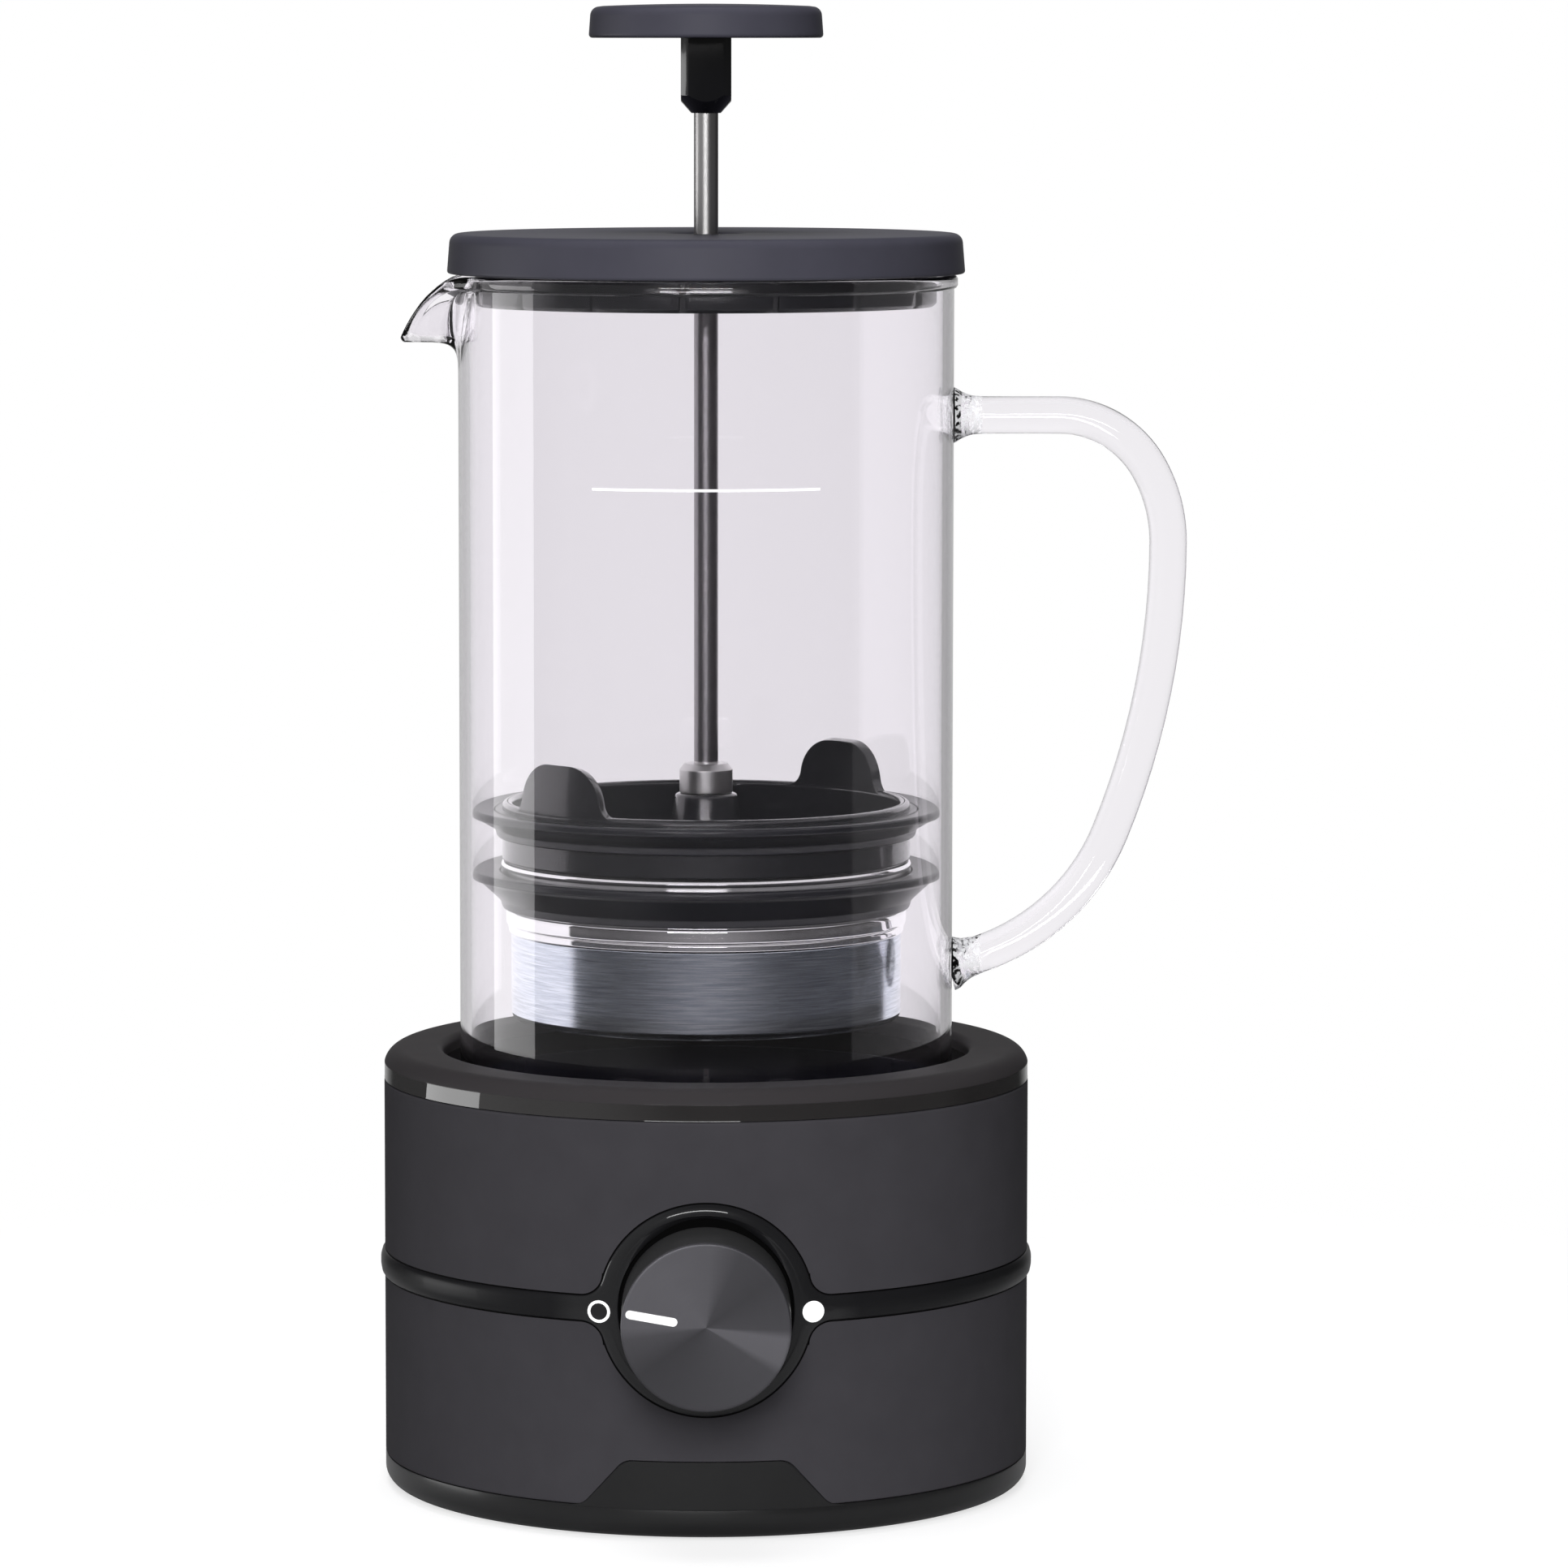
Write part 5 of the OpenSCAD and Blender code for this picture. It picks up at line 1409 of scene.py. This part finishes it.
# %% Basket
BASKET_Z, BASKET_R, RIM_TOP, NECK_R, STEEL = 103.6, 42.9, 138.5, 43.7, 0.8
SHOULDER_Z = BASKET_Z + 19.0
SWELL_R = BASKET_R + 1.0
basket_corners = [
    (BASKET_R - 5, BASKET_Z, 0.3), (BASKET_R, BASKET_Z, 1.6), (BASKET_R, SHOULDER_Z + 0.1, 0.3),
    (SWELL_R - 0.45, SHOULDER_Z + 0.4, 0.35), (SWELL_R - 0.45, SHOULDER_Z + 1.5, 0.5),
    (SWELL_R - 0.6, SHOULDER_Z + 1.9, 0.2), (SWELL_R + 0.1, SHOULDER_Z + 2.2, 0.9),
    (SWELL_R + 0.1, SHOULDER_Z + 4.8, 1.2), (NECK_R, SHOULDER_Z + 5.4, 0.4),
    (NECK_R, RIM_TOP - 1.6), (NECK_R + 1.2, RIM_TOP - 1.5, 0.3), (NECK_R + 1.5, RIM_TOP - 0.8, 0.4),
    (NECK_R + 1.1, RIM_TOP - 0.1, 0.3), (NECK_R - 0.2, RIM_TOP), (NECK_R - STEEL, RIM_TOP - 0.5),
    (NECK_R - STEEL, SHOULDER_Z + 4.8, 0.3), (SWELL_R - STEEL, SHOULDER_Z + 3.8),
    (SWELL_R - STEEL, SHOULDER_Z + 2.4), (BASKET_R - STEEL, SHOULDER_Z + 0.4),
    (BASKET_R - STEEL, BASKET_Z + STEEL, 0.6), (BASKET_R - 5, BASKET_Z + STEEL, 0.3)]
basket_outline = rounded(basket_corners, steps=3, hold=0.15)
finished(turned("basket_pressed", basket_outline, slices=200, crease=45),
         "basket_steel", "basket", "steel_basket")

# %% Seals
SEAL_R, LIP_T = 51.4, 2.2
UPPER_SEAL, LOWER_SEAL = (144.0, 148.2), (128.2, 134.7)


def seal_outline(r, low, lip):
    """A wiping seal: a foot on the wall of radius r and a lip that leans out to the glass.
    low and lip are the heights where the foot and the lip begin."""
    return rounded([(r, low), (r + 1.1, low, 0.5), (r + 1.6, low + 1.8, 1.2),
                    (SEAL_R - 1.6, lip - 0.3, 2.0), (SEAL_R, lip + 0.5, 0.5),
                    (SEAL_R, lip + LIP_T, 0.9), (r + 2.6, lip + LIP_T - 0.6, 1.5),
                    (r + 1.3, lip + LIP_T - 0.6, 0.5), (r, lip + LIP_T - 0.6)], steps=5, hold=0.2)


finished(turned("upper_seal_soft", seal_outline(CAP_R, *UPPER_SEAL), slices=200, crease=50),
         "seal_black", "plunger", "upper_seal")
finished(turned("lower_seal_soft", seal_outline(NECK_R, *LOWER_SEAL), slices=200, crease=50),
         "seal_black", "basket", "lower_seal")

# %% [markdown]
# ## What is inside and underneath
#
# The motor, switch, board and shafts are closed in, and the plate, its screws and the rubber
# ring are seen only from below. Their CAD solids have the right form, so the ones that can be
# seen get a welded, bevelled skin, and the hidden ones just their finish.

# %% Remaining nodes
for node, slot, bevel in (("base_plate", "under_black", 0.25), ("non_slip_ring", "silicone", 0.2),
                          ("base_screws", "zinc", 0.1), ("cord_gland", "under_black", 0.2),
                          ("stirrer", "stirrer_white", 0.25)):
    dressed(node, slot, bevel=bevel)
for part in frame["record"]["subparts"]:
    node = frame["nodes"][part["node"]]
    if not node.hide_render:
        node.data.materials.clear()
        node.data.materials.append(finishes[part["material_slot"]])
        print("CAD node kept:", part["node"])

# %% [markdown]
# ## Floor, light and camera
#
# The photograph was taken on a white sweep. The floor here is pale and turns clear before it
# ends, so no horizon shows. It glows only for rays from the camera or through the glass, which
# keeps it white behind the object without throwing more light on the plastic.

# %% Floor
FLOOR_R, FLOOR_Z0, FADE_FROM, FADE_TO = 430.0, -0.02, 230.0, 420.0
floor_finish = Finish("floor", (0.42, 0.42, 0.425), 0.9)
fx, fy, _ = floor_finish.xyz()
distance = floor_finish.math("SQRT", fx * fx + fy * fy)
fade = floor_finish.node("ShaderNodeMapRange", {"interpolation_type": "SMOOTHSTEP"},
                         {0: distance, 1: FADE_FROM, 2: FADE_TO})
path_kind = floor_finish.node("ShaderNodeLightPath").socket.node
seen = floor_finish.math("MAXIMUM", Wire(floor_finish, path_kind.outputs["Is Camera Ray"]),
                         Wire(floor_finish, path_kind.outputs["Is Transmission Ray"]))
floor_finish.set("Emission Color", floor_finish.mix(seen, 0.0, 1.0))
floor_finish.set("Emission Strength", 0.70)
nothing = floor_finish.node("ShaderNodeBsdfTransparent")
floor_finish.show(floor_finish.shader_mix(
    fade, Wire(floor_finish, floor_finish.surface.outputs[0]), nothing))

rim = [2 * pi * i / 64 for i in range(64)]
floor = new_object("floor", [(FLOOR_R * cos(t), FLOOR_R * sin(t), FLOOR_Z0) for t in rim],
                   [tuple(range(64))])
floor.data.materials.append(floor_finish.material)

# %% [markdown]
# The world is the room round the object, and each kind of ray sees it in its own way. The camera
# and a ray that the glass only bends see plain white. A mirror ray off plastic sees a dark room
# with a card on the left and a pale wall at the back. All other rays, which light the object,
# see one even grey. Light Path tells these kinds apart.

# %% Kinds of ray
AMBIENT = 0.14
world = bpy.data.worlds.new("sweep")
bpy.context.scene.world = world
world.use_nodes = True
sky = Maker(world.node_tree)
background = world.node_tree.nodes["Background"]
rays = sky.node("ShaderNodeLightPath").socket.node


def ray_kind(name):
    return Wire(sky, rays.outputs[name])


first_bounce = 1 - sky.math("MINIMUM", ray_kind("Diffuse Depth"), 1.0)
direct = ray_kind("Is Camera Ray")
through = ray_kind("Is Transmission Ray") * first_bounce
mirror = ray_kind("Is Glossy Ray") * first_bounce * (1 - ray_kind("Is Transmission Ray"))
turned_once = sky.math("GREATER_THAN", ray_kind("Glossy Depth"), 0.5)
turned_twice = sky.math("GREATER_THAN", ray_kind("Glossy Depth"), 1.5)
aim = sky.node("ShaderNodeSeparateXYZ", values={
    0: sky.node("ShaderNodeTexCoord", out=0)}).socket.node
aim_x, aim_y, aim_z = (Wire(sky, socket) for socket in aim.outputs)


def soft_step(value, start, end, low, high):
    """low up to start, high from end on, and a smooth rise between them."""
    return sky.node("ShaderNodeMapRange", {"interpolation_type": "SMOOTHSTEP"},
                    {0: value, 1: start, 2: end, 3: low, 4: high})


# %% [markdown]
# A ray that was mirrored on its way through the glass sees one of two rooms. If it passed more
# than three surfaces, it has been to something inside, such as the basket: then it sees a dark
# front and a bright back, which draws the basket's pale left side. If not, it was mirrored in
# the wall of the glass, and sees a dark front and a paler back. Straight up and down, and after
# a second mirroring, both rooms are light, so that edges of glass stay clear.

# %% The room in the glass
FRONT_MID, FRONT_SIDE, BACK_LIGHT = 0.25, 0.06, 1.3
WALL_FRONT, WALL_LEFT, WALL_RIGHT = 0.08, 0.8, 0.5
SURFACES_TO_INSIDE = 3.5

inside = sky.math("GREATER_THAN", ray_kind("Transmission Depth"), SURFACES_TO_INSIDE)
front = soft_step(sky.math("ABSOLUTE", aim_x), 0.0, 0.85, FRONT_MID, FRONT_SIDE)
steel_sees = soft_step(aim_y - 0.40 * aim_x, 0.27, 0.31, front, BACK_LIGHT)
wall_far = soft_step(aim_x, -0.2, 0.2, WALL_LEFT, WALL_RIGHT)
wall_sees = soft_step(aim_y + 0.14 * aim_x, -0.155, -0.125, WALL_FRONT, wall_far)
backdrop = inside * steel_sees + (1 - inside) * wall_sees
over_under = soft_step(sky.math("ABSOLUTE", aim_z), 0.30, 0.50, 0.0, 0.95)
all_round = sky.math("MAXIMUM", sky.math("MAXIMUM", backdrop, turned_twice * 0.9), over_under)
glass_sees = 1 - turned_once * (1 - all_round)

# %% The room in plastic, and the sum
left_card = (soft_step(aim_x, -0.75, -0.10, 0.30, 0.05)
             * soft_step(aim_y, 0.0, 0.3, 1.0, 0.1))
back_wall = soft_step(aim_y, 0.85, 1.0, 0.03, 0.55)
level = direct + (1 - direct) * (through * glass_sees + mirror * (left_card + back_wall)
                                 + (1 - mirror - through) * AMBIENT)
sky.feed(background.inputs["Color"], rgba(1.0))
sky.feed(background.inputs["Strength"], level)

# %% [markdown]
# The lamps are six softboxes. Four of them only light the object. The strip in front also draws
# the short glints on the seam and the bezel. The box on the left lights nothing and draws only
# the pale patch on the ring's polished strip. So each lamp is told whether it lights, whether it
# shows in a mirror and whether it shows through the glass.

# %% Lamps


def softbox(name, place, target, size, watts, lights=True, mirrored=True, through=True):
    """An area lamp out of the picture. It can light without glints, or draw only glints."""
    data = bpy.data.lights.new(name, "AREA")
    data.shape, (data.size, data.size_y) = "RECTANGLE", size
    data.energy = watts
    lamp = bpy.data.objects.new(name, data)
    lamp.location = place
    aim_at = Vector(target) - Vector(place)
    lamp.rotation_euler = aim_at.to_track_quat("-Z", "Y").to_euler()
    lamp.visible_camera, lamp.visible_diffuse = False, lights
    lamp.visible_glossy, lamp.visible_transmission = mirrored, mirrored and through
    bpy.context.scene.collection.objects.link(lamp)
    return lamp


MIDDLE, RING_MIDDLE = (0, 0, 0.13), (0, 0, 0.09)
softbox("left_box", (-1.07, 0.19, 0.06), RING_MIDDLE, (0.58, 0.44), 2.1, lights=False,
        through=False)
softbox("front_strip", (-0.17, -2.0, 0.50), MIDDLE, (1.20, 0.14), 8.0)
softbox("top_fill", (-0.10, -0.05, 1.45), MIDDLE, (0.70, 0.70), 9.0, mirrored=False)
softbox("key", (-0.06, -1.85, 0.92), MIDDLE, (0.60, 0.80), 30.0, mirrored=False)
softbox("right_fill", (0.85, -1.60, 0.50), MIDDLE, (0.80, 0.80), 1.5, mirrored=False)
softbox("back_fill", (0.30, 1.80, 0.90), MIDDLE, (0.80, 0.80), 7.0, mirrored=False)

# %% [markdown]
# The camera stands 1.6 m away with a long lens and looks down by not quite six degrees. The
# frame is shifted by a twentieth of its width, because the handle takes up room on one side.

# %% Camera
LOOKS_DOWN, FRAME_SHIFT, FRAME = 5.83, 96, 1932
view = bpy.data.cameras.new("view")
view.sensor_width, view.lens = 36.0, 165.47
view.clip_end = 20.0
camera = bpy.data.objects.new("camera", view)
view.shift_x = FRAME_SHIFT / FRAME
camera.location = (0.0, -1.57751, 0.31588)
camera.rotation_euler = (radians(90 - LOOKS_DOWN), 0, 0)
bpy.context.scene.collection.objects.link(camera)
bpy.context.scene.camera = camera
bpy.context.scene.view_settings.view_transform = "Standard"
